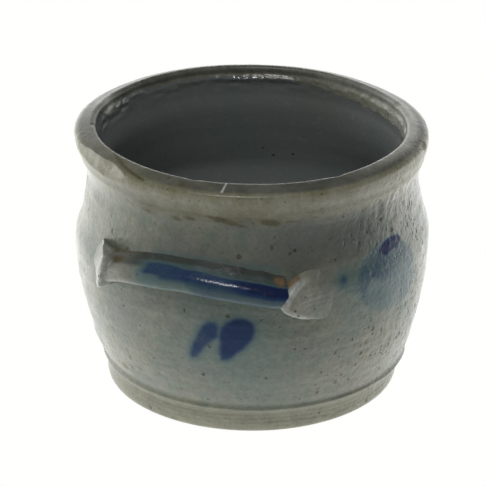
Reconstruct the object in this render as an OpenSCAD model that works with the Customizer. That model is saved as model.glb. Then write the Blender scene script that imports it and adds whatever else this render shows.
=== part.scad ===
// Open salt-glazed stoneware crock with a rolled collar rim, a turned foot and two
// applied clay lug handles. Origin: centre of the foot's underside, +Z up.
// The front handle is centred on -Y and the rear handle on +Y. Left and right pads
// are named as seen from outside, facing their own handle.

/* [Body] */
// Overall height, foot to rim
height = 154; // [140:1:180]
// Outside diameter of the rim
rim_d = 200; // [194:1:206]
// Outside diameter of the belly at its fullest
belly_d = 202; // [196:0.2:206]
// Outside diameter of the neck under the collar
neck_d = 186; // [180:1:190]
// Outside diameter of the wall just above the foot ledge
base_wall_d = 179; // [174:1:184]
// Wall thickness at the belly
wall = 8.5; // [7:0.5:10]
// Thickness of the floor
floor_t = 10; // [8:0.5:13]

/* [Mouth and rim] */
// Inside diameter of the straight lip at the mouth
mouth_d = 175.6; // [172:0.2:177]
// Height of the straight lip inside the mouth
lip_h = 6; // [4:0.5:8]
// Outside radius of the flat seat on top of the rim
seat_r = 95; // [93:0.5:96]
// Depth of the fullest point of the rim below the top
rim_drop = 5.5; // [4:0.5:7]

/* [Foot] */
// Outside diameter of the foot, just above its bevel
foot_d = 169.6; // [160:0.2:172]
// Diameter of the flat underside
rest_d = 160; // [150:1:162]
// Height of the ledge where the wall meets the foot
ledge_z = 16.2; // [14:0.2:22]
// Diameter of the crisp bead along the ledge
ledge_d = 176.8; // [172:0.2:180]

/* [Handles] */
// Half of the angle that each coil spans between its pads
coil_half_deg = 31; // [27:0.5:34]
// Height of the coil's middle above the foot's underside
coil_z = 99.5; // [96:0.5:103]
// How far the coil's ends drop below its middle
coil_droop = 5; // [0:0.5:7]
// Height of the coil's section at its middle
coil_h = 15; // [12:0.5:17]
// How far the coil stands out from the wall
coil_out = 10.5; // [8:0.5:13]
// Angle that each thumbed pad covers beyond the coil
pad_deg = 18.5; // [14:0.5:22]
// Height of the pad at its widest
pad_h = 28; // [22:1:32]
// How far the pad's high edge stands out from the wall
pad_out = 12; // [9:0.5:14]

/* [Hidden] */

// Body radii
rim_r = rim_d / 2;
belly_r = belly_d / 2;
neck_r = neck_d / 2;
base_r = base_wall_d / 2;
mouth_r = mouth_d / 2;
foot_r = foot_d / 2;
rest_r = rest_d / 2;
ledge_r = ledge_d / 2;
belly_in = belly_r - wall;
neck_in = neck_r - wall + 0.1;

// Body levels
belly_z = 0.544 * height;
neck_z = 0.829 * height;
wall_z = ledge_z + 4.2;      // where the ledge's curl meets the wall
inner_wall_z = wall_z + 2;   // start of the evenly stepped inner wall
rim_z = height - rim_drop;   // the rim's fullest point
lip_top = height - 1.2;
lip_z = lip_top - lip_h;     // bottom of the straight lip

base_extra = 1;   // how much thicker the wall is at wall_z than at the belly
corner = 12;      // radius of the curl between floor and wall, inside

// Steps along each part of the body's outline
wall_steps = 12;
collar_steps = 8;
arc_steps = 6;

// Handle shape
gap = 0.09;             // air behind a piece, so its facets never cross the wall
joint_deg = 0.03;       // air between the coil and a pad
coil_flare = 3;         // extra height at the coil's ends
coil_fullness = 0.55;   // power of the bulge: lower is squarer
pad_fullness = 0.4;
pad_drop = 1.5;         // pad's middle below the coil's end
pad_tip_out = 1;        // how far the pad's tip stands out
pad_root = 0.74;        // share of pad_h beside the coil
pad_widest = 0.35;      // share of the pad's length where it is widest
pad_taper = 0.93;       // share of the squared height lost towards the tip
coil_steps = 16;
pad_steps = 9;
face_steps = 10;        // around a piece's face; its back has half as many

// Value i steps out of count from start to end
function step(start, end, i, count) = start + (end - start) * i / count;

// Smooth rise from 0 to 1 as t goes from 0 to 1
function ease(t) = (1 - cos(180 * t)) / 2;

// 0 at the neck, 1 at the belly
function below_neck(z) = (neck_z - z) / (neck_z - belly_z);

// Outside radius of the wall between the ledge and the neck
function wall_r(z) =
    z < belly_z
        ? belly_r - (belly_r - base_r) * pow((belly_z - z) / (belly_z - wall_z), 1.57)
        : neck_r + (belly_r - neck_r) * ease(below_neck(z));

// Outside radius of the collar's underside, neck to rim
function collar_r(z) = neck_r + (rim_r - neck_r) * pow((z - neck_z) / (rim_z - neck_z), 1.25);

// Inside radius from the floor's curl to the neck
function inner_r(z) =
    z < belly_z
        ? wall_r(z) - wall - base_extra * (belly_z - z) / (belly_z - wall_z)
        : neck_in + (belly_in - neck_in) * ease(below_neck(z));

// Inside radius from the neck to the straight lip
function throat_r(z) = neck_in + (mouth_r - neck_in) * ease((z - neck_z) / (lip_z - neck_z));

// Outlines are lists of [radius, height]

// Underside, bevel, foot, ledge bead and the curl above it
function foot_outline() = [
    [0, 0], [rest_r, 0], [rest_r + 2.3, 1.1], [foot_r, 3.6],
    [foot_r + 0.8, 9], [foot_r + 1.4, ledge_z - 2.6], [foot_r + 2.4, ledge_z - 1.3],
    [ledge_r - 0.5, ledge_z - 0.8], [ledge_r, ledge_z], [ledge_r - 0.5, ledge_z + 0.9],
    [ledge_r - 0.7, ledge_z + 1.8], [base_r - 0.4, wall_z - 0.9]];

// Outer wall, going up
function outer_outline() = concat(
    [for (i = [0:wall_steps]) let (z = step(wall_z, belly_z, i, wall_steps)) [wall_r(z), z]],
    [for (i = [1:wall_steps - 1]) let (z = step(belly_z, neck_z, i, wall_steps)) [wall_r(z), z]]);

// Collar, rolled rim, flat seat and straight lip
function rim_outline() = concat(
    [for (i = [0:collar_steps]) let (z = step(neck_z, rim_z, i, collar_steps)) [collar_r(z), z]],
    [for (i = [1:arc_steps]) let (a = 90 * i / arc_steps)
        [seat_r + (rim_r - seat_r) * cos(a), rim_z + rim_drop * sin(a)]],
    [[mouth_r + 1.2, height], [mouth_r + 0.35, height - 0.35],
     [mouth_r, lip_top], [mouth_r, lip_z]]);

// Throat, inner wall, curl and floor, going down
function inner_outline() = concat(
    [for (i = [collar_steps - 1:-1:1]) let (z = step(neck_z, lip_z, i, collar_steps))
        [throat_r(z), z]],
    [for (i = [wall_steps:-1:1]) let (z = step(belly_z, neck_z, i, wall_steps))
        [inner_r(z), z]],
    [for (i = [wall_steps:-1:1]) let (z = step(inner_wall_z, belly_z, i, wall_steps))
        [inner_r(z), z]],
    [for (i = [0:arc_steps]) let (a = 90 * i / arc_steps, z = floor_t + corner)
        [inner_r(z) - corner + corner * cos(a), z - corner * sin(a)]],
    [[0, floor_t]]);

// Closed skin over rings of equal length, each [x, y, z] points, with flat ends
module skin(rings) {
    last = len(rings) - 1;
    count = len(rings[0]);
    polyhedron(
        points = [for (ring = rings) each ring],
        faces = concat(
            [[for (j = [0:count - 1]) j]],
            [for (i = [0:last - 1]) for (j = [0:count - 1]) let (k = (j + 1) % count)
                [i * count + j, (i + 1) * count + j, (i + 1) * count + k]],
            [for (i = [0:last - 1]) for (j = [0:count - 1]) let (k = (j + 1) % count)
                [i * count + j, (i + 1) * count + k, i * count + k]],
            [[for (j = [count - 1:-1:0]) last * count + j]]));
}

// Point at height z, standing out from the wall; azimuth is from -Y towards +X
function on_wall(azimuth, z, out) =
    let (r = wall_r(z) + gap + out) [r * sin(azimuth), -r * cos(azimuth), z];

// Section of pressed clay: the face bulges out going up, the back follows the wall down
function pressed(azimuth, mid, tall, out, fullness) = concat(
    [for (i = [0:face_steps]) let (a = -90 + 180 * i / face_steps)
        on_wall(azimuth, mid + tall / 2 * sin(a), out * pow(max(cos(a), 0), fullness))],
    [for (i = [1:face_steps / 2 - 1])
        on_wall(azimuth, mid + tall * (0.5 - i / (face_steps / 2)), 0)]);

// Middle height of the coil
function coil_mid(azimuth) = coil_z - coil_droop * (1 - cos(90 * azimuth / coil_half_deg));

// Height of the coil's section, flaring where it runs into its pads
function coil_tall(azimuth) = coil_h + coil_flare * pow(abs(azimuth) / coil_half_deg, 4);

// Height of the pad, with along going from 0 beside the coil to 1 at the tip
function pad_tall(along) =
    pad_h * (pad_root + (1 - pad_root) * sin(90 * min(along / pad_widest, 1)))
        * sqrt(1 - pad_taper * pow(max(along - pad_widest, 0) / (1 - pad_widest), 2));

module handle_coil() {
    color("#33476b") skin([for (i = [0:coil_steps])
        let (azimuth = step(-coil_half_deg, coil_half_deg, i, coil_steps))
        pressed(azimuth, coil_mid(azimuth), coil_tall(azimuth), coil_out, coil_fullness)]);
}

// Thumbed pad, high beside the coil and thinning to the wall; side is -1 left, 1 right.
// Rings always run left to right, which keeps the faces turned outwards.
module handle_pad(side) {
    mid = coil_mid(coil_half_deg) - pad_drop;
    color("#8b8f84") skin([for (i = [0:pad_steps]) let (
        along = side > 0 ? i / pad_steps : 1 - i / pad_steps,
        azimuth = side * (coil_half_deg + joint_deg + pad_deg * along),
        out = pad_tip_out + (pad_out - pad_tip_out) * pow(1 - along, 1.25))
        pressed(azimuth, mid, pad_tall(along), out, pad_fullness)]);
}

module crock_body() {
    color("#6f7570") rotate_extrude($fn = 180)
        polygon(concat(foot_outline(), outer_outline(), rim_outline(), inner_outline()));
}

module front_handle_coil() { handle_coil(); }
module front_handle_left_pad() { handle_pad(-1); }
module front_handle_right_pad() { handle_pad(1); }
module rear_handle_coil() { rotate(180) handle_coil(); }
module rear_handle_left_pad() { rotate(180) handle_pad(-1); }
module rear_handle_right_pad() { rotate(180) handle_pad(1); }

crock_body();
front_handle_coil();
front_handle_left_pad();
front_handle_right_pad();
rear_handle_coil();
rear_handle_left_pad();
rear_handle_right_pad();
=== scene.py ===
"""Salt-glazed stoneware crock: a thrown body with a rolled bar handle at the front and the rear,
each bar ending in two thumbed clay pads, brushed with cobalt.

The origin is the centre of the foot, +Z is up and the front handle is on -Y. Azimuths run in
degrees from -Y towards +X. Shapes are worked in millimetres and become metres in make_mesh.
"""
import bpy
import math
import numpy as np
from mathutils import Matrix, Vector
from types import SimpleNamespace


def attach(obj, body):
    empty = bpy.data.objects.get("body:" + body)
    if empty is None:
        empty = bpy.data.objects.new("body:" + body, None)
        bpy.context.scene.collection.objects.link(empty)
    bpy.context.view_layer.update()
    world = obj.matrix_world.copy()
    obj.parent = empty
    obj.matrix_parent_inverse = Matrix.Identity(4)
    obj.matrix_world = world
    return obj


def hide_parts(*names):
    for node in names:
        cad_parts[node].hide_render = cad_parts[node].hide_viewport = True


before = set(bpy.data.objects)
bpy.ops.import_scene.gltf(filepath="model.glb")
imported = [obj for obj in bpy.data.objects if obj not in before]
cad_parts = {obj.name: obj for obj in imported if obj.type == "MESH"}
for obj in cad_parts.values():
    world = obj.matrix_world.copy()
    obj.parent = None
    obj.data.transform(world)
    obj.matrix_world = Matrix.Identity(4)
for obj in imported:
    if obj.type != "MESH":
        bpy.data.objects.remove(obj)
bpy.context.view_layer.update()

MM = 0.001
TURN = 2 * math.pi
VIEW_AZIMUTH = math.radians(21.0)       # the camera stands this far round from the front
RIGHT = np.array([math.cos(VIEW_AZIMUTH), math.sin(VIEW_AZIMUTH), 0.0])     # camera's right
AWAY = np.array([-math.sin(VIEW_AZIMUTH), math.cos(VIEW_AZIMUTH), 0.0])     # level, from camera
UP = np.array([0.0, 0.0, 1.0])
PAINT_RADIUS = 99.0                     # lengths along the wall are taken at this radius


# ---------------------------------------------------------------- soft steps, bells and curves
def rise(x, low, high):
    """Smooth step from 0 at low to 1 at high."""
    t = np.clip((np.asarray(x, float) - low) / (high - low), 0.0, 1.0)
    return t * t * (3 - 2 * t)


def fall(x, low, high):
    return 1 - rise(x, low, high)


def window(x, low, low_full, high_full, high):
    """0 outside low..high, 1 between low_full and high_full."""
    return rise(x, low, low_full) * fall(x, high_full, high)


def bell(x, centre, width, power=2):
    """1 at the centre; power 4 gives a flatter top."""
    return np.exp(-((x - centre) / width) ** power)


def blotch(along, across, centre_along, centre_across, radius):
    spread = radius / 1.6
    return np.exp(-((along - centre_along) ** 2 + (across - centre_across) ** 2)
                  / (2 * spread ** 2))


def curve(stations, x):
    """Monotone cubic through stations, given as a row of positions and a row of values."""
    xs, ys = (np.asarray(row, float) for row in stations)
    x = np.asarray(x, float)
    gap = np.diff(xs)
    slope = np.diff(ys) / gap
    tangent = np.zeros_like(ys)
    tangent[0], tangent[-1] = slope[0], slope[-1]
    for i in range(1, len(xs) - 1):
        if slope[i - 1] * slope[i] > 0:
            before, after = 2 * gap[i] + gap[i - 1], gap[i] + 2 * gap[i - 1]
            tangent[i] = (before + after) / (before / slope[i - 1] + after / slope[i])
    k = np.clip(np.searchsorted(xs, x, side="right") - 1, 0, len(xs) - 2)
    t = np.clip((x - xs[k]) / gap[k], 0, 1)
    return ((2 * t**3 - 3 * t**2 + 1) * ys[k] + (t**3 - 2 * t**2 + t) * gap[k] * tangent[k]
            + (-2 * t**3 + 3 * t**2) * ys[k + 1] + (t**3 - t**2) * gap[k] * tangent[k + 1])


def spline(points, count):
    """Resamples an open run of 2-D points with a Catmull-Rom curve, evenly along its chords."""
    points = np.asarray(points, float)
    padded = np.vstack([2 * points[0] - points[1], points, 2 * points[-1] - points[-2]])
    length = np.hypot(*np.diff(points, axis=0).T)
    reach = np.concatenate([[0], np.cumsum(length)])
    resampled = []
    for place in np.linspace(0, reach[-1], count):
        k = min(max(np.searchsorted(reach, place, side="right") - 1, 0), len(length) - 1)
        t = (place - reach[k]) / max(length[k], 1e-9)
        p0, p1, p2, p3 = padded[k:k + 4]
        resampled.append(0.5 * ((2 * p1) + (-p0 + p2) * t + (2 * p0 - 5 * p1 + 4 * p2 - p3) * t * t
                                + (-p0 + 3 * p1 - 3 * p2 + p3) * t**3))
    return np.array(resampled)


def wrap(angle):
    """Brings radians into -pi..pi."""
    return (np.asarray(angle) + math.pi) % TURN - math.pi


def arc(azim, centre, radius):
    """Length round the pot from the centre azimuth, the short way."""
    return wrap(np.radians(azim - centre)) * radius


def lattice_value(ix, iy, iz, seed):
    """Repeatable random value, 0..1, for each whole-number lattice point."""
    n = (ix.astype(np.int64) * 374761393 + iy.astype(np.int64) * 668265263
         + iz.astype(np.int64) * 2147483647 + seed * 974634777) & 0xFFFFFFFF
    n = ((n ^ (n >> 13)) * 1274126177) & 0xFFFFFFFF
    n = ((n ^ (n >> 16)) * 2246822519) & 0xFFFFFFFF
    return ((n ^ (n >> 15)) & 0xFFFFFF) / float(0xFFFFFF)


def noise(points, size, seed):
    """Smooth value noise, -1..1, with features about size across."""
    scaled = np.asarray(points, float) / size + 1000.0
    cell = np.floor(scaled).astype(np.int64)
    f = scaled - cell
    ease = f * f * f * (f * (f * 6 - 15) + 10)
    total = 0.0
    for corner in np.ndindex(2, 2, 2):
        weight = np.prod(np.where(corner, ease, 1 - ease), axis=1)
        total = total + weight * lattice_value(*(cell + corner).T, seed)
    return total * 2 - 1


def fbm(points, size, seed, octaves=3):
    """Noise with finer octaves laid over it, each half as strong as the last."""
    total, strength, strengths = 0.0, 1.0, 0.0
    for k in range(octaves):
        total = total + strength * noise(points, size / 2**k, seed + 17 * k)
        strengths += strength
        strength *= 0.5
    return total / strengths


# ---------------------------------------------------------------- section of the body
# (radius, height) from the centre of the underside out, up, over the rim and down the inside
# to the centre of the floor. The first number in each comment is the row's first point.
SECTION = np.array([
    # 0: underside and foot edge
    (0.0, 0.0), (20.0, 0.0), (45.0, 0.0), (66.0, 0.0),
    (77.5, 0.0), (80.2, 0.25), (81.8, 1.0), (82.7, 2.4),
    # 8: foot and ledge
    (83.2, 5.0), (83.6, 8.5), (84.1, 12.0), (84.8, 14.6),
    (85.9, 16.1), (87.3, 16.7), (88.4, 17.2), (88.9, 18.0),
    (88.6, 18.9), (88.0, 19.7), (88.1, 20.9), (88.8, 22.3),
    # 20: outer wall up to the neck
    (89.8, 25.0), (91.0, 30.0), (93.4, 39.0), (95.7, 49.0), (97.6, 59.0), (99.2, 69.0),
    (100.1, 79.0), (100.3, 88.0), (100.1, 93.5), (99.2, 97.5), (97.9, 101.0), (96.6, 105.0),
    (95.4, 110.0), (94.0, 115.5), (92.8, 120.5), (91.8, 125.0), (91.15, 129.0), (91.1, 132.0),
    # 38: collar
    (91.6, 135.0), (92.8, 138.2), (94.2, 140.8), (95.0, 141.9), (95.5, 142.9), (96.5, 144.8),
    (97.9, 147.0), (99.1, 149.2), (99.8, 151.2), (100.0, 152.6),
    # 48: over the rim
    (99.9, 153.7), (99.4, 154.6), (98.3, 155.3), (96.4, 156.1), (94.0, 156.9), (91.9, 157.6),
    (90.4, 158.0), (89.1, 157.9), (88.25, 157.3), (87.75, 156.2), (87.7, 154.6),
    # 59: down the inside
    (87.55, 153.6), (87.3, 153.0), (86.95, 152.2), (86.6, 151.2), (86.35, 149.8), (86.1, 147.0),
    (85.3, 142.0), (84.2, 138.0), (83.2, 133.5), (82.8, 129.0), (83.1, 124.0), (84.1, 118.0),
    (85.6, 112.0), (87.3, 106.0), (89.0, 100.5), (90.6, 95.0), (91.5, 89.0), (91.6, 83.0),
    (91.2, 74.0), (90.1, 64.0), (88.4, 53.5), (86.0, 42.5), (83.2, 32.5), (80.8, 26.0),
    # 83: round to the floor
    (78.2, 20.8), (74.6, 16.2), (69.5, 12.6), (62.5, 10.8), (52.0, 10.1), (36.0, 10.0),
    (18.0, 10.0), (0.0, 10.0)])
OUTER_POINTS = slice(5, 48)
# heights; added radius of the outer skin
OUTER_FULLNESS = (
    (0, 1, 3, 10, 15, 17.5, 26, 40, 60, 80, 92, 105, 115, 125, 134, 141, 148, 152, 156),
    (1.1, 1.8, 1.8, 0.7, 0.1, -0.2, 0.1, 0.8, 1.1, 0.9, 1.0, 1.2, 1.7, 2.6, 3.3, 2.8, 0.9, 0, 0))
SECTION[OUTER_POINTS, 0] += np.interp(SECTION[OUTER_POINTS, 1], *OUTER_FULLNESS)
RUN = np.concatenate([[0], np.cumsum(np.hypot(*np.diff(SECTION, axis=0).T))])   # length so far
FOOT_RUN, RIM_RUN, LIP_RUN, FLOOR_RUN = RUN[4], RUN[46], RUN[56], RUN[86]
WALL_POINTS = slice(20, 38)

# thrown slightly off centre: heights; shift to the camera's right, and away from it
SHIFT_RIGHT = ((0, 8, 17, 19, 26, 50, 88, 104, 112, 124, 131, 141, 152, 159),
               (-0.6, -0.5, 0.5, 0.9, 0.3, -0.1, -0.5, 0.2, -0.1, -0.2, 0.0, -0.3, -1.0, -1.1))
SHIFT_AWAY = ((0, 17, 60, 110, 140, 159), (0, 0.1, 0.3, -0.2, 0.0, 0.0))


def past(run, first, last):
    """Smooth step along the section between two of its points."""
    return rise(run, RUN[first], RUN[last])


def wall_radius(z):
    """Outside radius from ledge to neck, before the warp."""
    return curve((SECTION[WALL_POINTS, 1], SECTION[WALL_POINTS, 0]), z)


def settle(z):
    """Height after the wet clay slumped a little."""
    slumped = z - 1.52 - 0.0105 * z - 0.70 * np.clip((z - 95) / 63, 0, 1)
    return np.where(z < 17.8, z * 0.904, slumped)


def warp(points):
    """The pot's own lean, tilt and out-of-round."""
    x, y, z = points.T
    angle = np.arctan2(y, x)
    share = np.clip(np.hypot(x, y) / 80.0, 0, 1)
    warped = (points + np.outer(curve(SHIFT_RIGHT, z) * share, RIGHT)
              + np.outer(curve(SHIFT_AWAY, z) * share, AWAY))
    # two, three and five lobes, in percent, growing up the wall
    lobes = (0.30 * np.cos(2 * (angle - 0.6)) + 0.18 * np.cos(3 * (angle + 1.1))
             + 0.10 * np.cos(5 * (angle - 0.3)))
    warped[:, :2] *= (1 + rise(z, 4, 110) * share * lobes / 100.0)[:, None]
    # the rim's plane sits lower on the camera's right, and waves slightly
    tilt = (-0.0125 * (points @ RIGHT) + 0.22 * np.cos(3 * angle + 0.4)
            + 0.14 * np.cos(7 * angle + 2.0))
    warped[:, 2] = settle(z) + rise(z, 100, 156) * tilt
    return warped


def azimuth(points):
    return np.degrees(np.arctan2(points[:, 0], -points[:, 1]))


def on_wall(azim, z, out):
    """Point standing this far out from the warped wall."""
    angle = np.radians(azim)
    radius = wall_radius(z) + out
    points = np.stack([radius * np.sin(angle), -radius * np.cos(angle), z], -1)
    return warp(points.reshape(-1, 3)).reshape(points.shape)


# ---------------------------------------------------------------- mesh building
# paint fields every piece carries, zero where a piece does not set them
SHARED_FIELDS = ("cobalt", "teal", "stain", "iron", "inside", "chip_and_lit_edge", "scratch", "base",
                 "collar", "rimface", "rust", "bare", "dark")


def make_mesh(node, points, faces, corner_uv, paint):
    """A closed mesh from points in mm, with one (u, v) per face corner and paint per point."""
    name = node + "_surface"
    mesh = bpy.data.meshes.new(name)
    mesh.from_pydata((points * MM).tolist(), [], faces)
    layer = mesh.uv_layers.new(name="OFBake")
    layer.data.foreach_set("uv", np.asarray(corner_uv, np.float32).ravel())
    for key, value in {**dict.fromkeys(SHARED_FIELDS, 0.0), **paint}.items():
        field = mesh.attributes.new(key, "FLOAT", "POINT")
        field.data.foreach_set("value", np.full(len(points), value, np.float32))
    mesh.polygons.foreach_set("use_smooth", [True] * len(mesh.polygons))
    # a negative volume means the mesh is inside out
    mesh.calc_loop_triangles()
    corners = np.empty(len(mesh.loop_triangles) * 3, np.int32)
    mesh.loop_triangles.foreach_get("vertices", corners)
    first, second, third = points[corners.reshape(-1, 3)].transpose(1, 0, 2)
    if np.einsum("ij,ij->", first, np.cross(second, third)) < 0:
        mesh.flip_normals()
    mesh.update()
    mesh.validate(clean_customdata=False)
    obj = bpy.data.objects.new(name, mesh)
    bpy.context.scene.collection.objects.link(obj)
    return obj


def tube_faces(rings, around):
    """Quads of a closed tube, and the fans that close its ends round two last points."""
    row = np.arange(rings - 1)[:, None] * around
    column = np.arange(around)
    following = (column + 1) % around
    quads = np.stack([row + column, row + around + column, row + around + following,
                      row + following], -1).reshape(-1, 4)
    last = (rings - 1) * around
    centre = np.full(around, rings * around)
    fans = np.vstack([np.stack([centre, column, following], -1),
                      np.stack([centre + 1, last + following, last + column], -1)])
    return quads, fans


def with_ends(values, first=0.0, last=0.0):
    """Values over the rings, then those of the two end points."""
    return np.concatenate([np.ravel(values), [first, last]])


def vertex_normals(points, quads, fans):
    """Area-weighted normals."""
    normals = np.zeros_like(points)
    p0, p1, p2, p3 = (points[quads[:, k]] for k in range(4))
    q0, q1, q2 = (points[fans[:, k]] for k in range(3))
    for faces, normal in ((quads, np.cross(p2 - p0, p3 - p1)),
                          (fans, np.cross(q1 - q0, q2 - q0))):
        for k in range(faces.shape[1]):
            np.add.at(normals, faces[:, k], normal)
    return normals / np.maximum(np.linalg.norm(normals, axis=1), 1e-12)[:, None]


# ---------------------------------------------------------------- brushwork on the wall
# outlines of the cobalt dabs: (mm along the wall from the handle's middle, height)
LEAF_RIGHT = [
    (19.0, 76.3), (22.3, 79.7), (25.6, 81.7), (29.9, 82.9), (34.2, 82.1), (37.4, 79.6),
    (38.9, 75.1), (38.3, 70.6), (36.1, 66.6), (32.2, 61.9), (28.2, 58.3), (25.3, 55.1),
    (21.8, 53.1), (18.4, 53.5), (17.6, 59.0), (17.9, 65.2), (17.8, 71.1)]
LEAF_LEFT = [
    (13.0, 79.4), (16.8, 79.2), (19.0, 76.4), (18.2, 69.1), (14.6, 65.9), (10.3, 61.3),
    (8.3, 57.6), (5.7, 54.1), (1.3, 52.2), (0.4, 55.5), (2.1, 60.6), (4.3, 66.4),
    (6.4, 72.0), (9.5, 77.0)]
DAB_TOP = [
    (114.0, 108.6), (120.5, 112.0), (126.4, 112.8), (133.3, 112.2), (136.8, 109.0),
    (134.6, 106.0), (130.0, 105.0), (123.9, 104.2), (119.1, 103.6), (115.6, 105.6)]
DAB = [
    (101.5, 104.8), (105.8, 107.0), (111.0, 109.0), (118.0, 109.7), (134.9, 107.0),
    (140.4, 101.6), (143.4, 94.6), (146.2, 86.0), (144.0, 79.4), (138.8, 74.0), (131.4, 71.3),
    (123.5, 71.3), (114.6, 73.4), (106.3, 78.2), (100.3, 84.4), (97.3, 91.5), (97.3, 98.8)]
DAB_LEFT = [(101.1, 103.3), (106.1, 102.5), (105.2, 95.1), (103.7, 88.4), (101.0, 85.5),
            (98.8, 89.8), (98.4, 97.5)]
DAB_MIDDLE = [(109.3, 108.3), (117.2, 107.1), (126.7, 103.0), (126.4, 97.5), (121.9, 91.4),
              (113.5, 90.7), (106.1, 96.0), (105.4, 102.7)]
DAB_HALO = [(90.7, 103.0), (97.9, 101.4), (97.3, 91.5), (90.1, 92.8)]
# outline, softness of the edge in mm, strength inside
EVEN_DABS = ((LEAF_RIGHT, 9.2, 0.80), (LEAF_LEFT, 9.6, 0.70), (DAB_LEFT, 11.0, 0.56),
             (DAB_MIDDLE, 14.0, 0.55), (DAB_HALO, 9.0, 0.34))


def segment_distance(along, across, start, end):
    (x0, y0), (x1, y1) = start, end
    dx, dy = x1 - x0, y1 - y0
    t = np.clip(((along - x0) * dx + (across - y0) * dy) / (dx * dx + dy * dy), 0, 1)
    return np.hypot(along - x0 - t * dx, across - y0 - t * dy)


def outline(along, z, polygon, softness, full):
    """0.5 on the polygon's line, rising to full inside and falling away outside."""
    nearest = np.full(len(along), np.inf)
    inside = np.zeros(len(along), bool)
    for start, end in zip(polygon, polygon[1:] + polygon[:1]):
        nearest = np.minimum(nearest, segment_distance(along, z, start, end))
        dy = end[1] - start[1]
        crossing = start[0] + (z - start[1]) * (end[0] - start[0]) / (dy if dy else 1e-9)
        inside ^= ((start[1] > z) != (end[1] > z)) & (along < crossing)
    return np.clip(0.5 + nearest * np.where(inside, 1, -1) / softness, -0.5, full)


def ellipse(along, z, centre, half_sizes, tilt=0.0):
    """1 at the centre, 0.5 on the ellipse's edge, 0 well outside."""
    c, s = math.cos(math.radians(tilt)), math.sin(math.radians(tilt))
    du, dv = along - centre[0], z - centre[1]
    q = np.hypot((du * c + dv * s) / half_sizes[0], (-du * s + dv * c) / half_sizes[1])
    return np.clip(1.0 - 0.5 * q, -0.5, 1.0)


def teal_cast(along, z):
    """How far the glaze near the cobalt turns teal."""
    return np.clip(1.05 * bell(along, 28, 36) * bell(z, 64, 38)
                   + 0.75 * bell(along, 112, 26) * bell(z, 88, 22)
                   + 0.5 * bell(along, 92, 10) * bell(z, 97, 9), 0, 1)


def painted_shade_cast(along, z):
    """Painted shade on the shoulder under the collar and round the leaf dabs."""
    return (1.05 * bell(along, 90, 38, power=4) * bell(z, 121, 17)
            + 0.45 * bell(along, 22, 52, power=4) * bell(z, 117, 13)
            + 0.06 * bell(along, 30, 32) * bell(z, 86, 20))


# ---------------------------------------------------------------- crock body: thrown shape
BODY_AROUND = 576
OUTER_STEP, INNER_STEP, FLAT_STEP = ((1.0, 1.9, 3.2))
# first and last section point of each span, and the spacing of its rings
RING_SPANS = ((0, 4, FLAT_STEP), (4, 22, OUTER_STEP * 0.75), (22, 42, OUTER_STEP * 1.15),
              (42, 60, OUTER_STEP * 0.62), (60, 66, OUTER_STEP * 0.62), (66, 81, INNER_STEP),
              (81, 86, INNER_STEP), (86, len(SECTION) - 1, FLAT_STEP))


def thrown_body():
    """Points of the plain turned body, with where each lies and which part it is in."""
    marks = [RUN[0]]
    for first, last, step in RING_SPANS:
        count = max(1, int(round((RUN[last] - RUN[first]) / step)))
        marks.extend(np.linspace(RUN[first], RUN[last], count + 1)[1:])
    marks = np.array(marks)
    radius = curve((RUN, SECTION[:, 0]), marks)[1:-1, None]
    z = curve((RUN, SECTION[:, 1]), marks)
    angle = np.arange(BODY_AROUND) * TURN / BODY_AROUND + math.pi / 2   # seam at the back
    rings = np.stack([radius * np.cos(angle), radius * np.sin(angle),
                      np.repeat(z[1:-1, None], BODY_AROUND, 1)], -1)
    points = np.vstack([rings.reshape(-1, 3), [[0, 0, z[0]], [0, 0, z[-1]]]])
    run = with_ends(np.repeat(marks[1:-1], BODY_AROUND), RUN[0], RUN[-1])
    quads, fans = tube_faces(len(rings), BODY_AROUND)
    return SimpleNamespace(
        points=points, run=run, rings=len(rings), quads=quads[:, [0, 3, 2, 1]],
        fans=fans[:, [0, 2, 1]], azim=azimuth(points), z=points[:, 2].copy(),
        radius=np.hypot(points[:, 0], points[:, 1]), grit=fbm(points, size=9.0, seed=21),
        outer=past(run, 5, 8) * fall(run, RIM_RUN, RIM_RUN + 2),
        inner=rise(run, LIP_RUN, LIP_RUN + 6),
        rim=rise(run, RUN[50] - 0.6, RUN[51] + 0.3) * (1 - past(run, 58, 60)),
        collar_face=past(run, 45, 48) * (1 - past(run, 55, 57)),
        base=1 - past(run, 3, 4))


# ---------------------------------------------------------------- crock body: relief
# strength, azimuth, width in degrees, height window
RUN_PATCHES = ((1.0, 74, 17, (96, 112, 136, 146)), (0.5, -66, 12, (30, 60, 110, 130)),
               (0.6, 150, 26, (80, 104, 134, 144)))
PIT_PATCHES = ((0.75, 93, 14, (30, 50, 128, 140)), (0.60, 74, 22, (24, 34, 66, 84)),
               (0.40, -68, 12, (28, 60, 110, 130)), (0.45, 150, 24, (70, 100, 134, 144)))
# flakes off the rim's outer edge: azimuth, half width, two (radius, height) points of the cut
# line, how fast it shallows sideways, noise seed
FLAKES = ((-38.0, 24.0, (94.2, 159.0), (100.0, 146.4), 2.6, 61),
          (96.0, 6.0, (96.5, 158.0), (100.8, 151.0), 1.8, 62),
          (-142.0, 7.5, (96.0, 158.0), (100.6, 150.2), 2.0, 63))
# nicks on the rim's inner edge: azimuth, half width, depth
NICKS = ((0.5, 2.2, 0.9), (52.6, 3.4, 0.8), (-64.0, 2.0, 0.7), (130.0, 2.6, 0.8),
         (171.0, 3.0, 0.7), (-118.0, 2.2, 0.8))


def patches(table, azim, z):
    return sum(strength * bell(azim, centre, width) * window(z, *heights)
               for strength, centre, width, heights in table)


def smooth_round_dab(skin):
    """Keeps the wall under the big dab nearly smooth."""
    along = np.radians(skin.azim) * PAINT_RADIUS
    return 1 - 0.85 * bell(along, 121.0, 25.0, power=4) * bell(skin.z, 93.0, 21.0, power=4)


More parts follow.
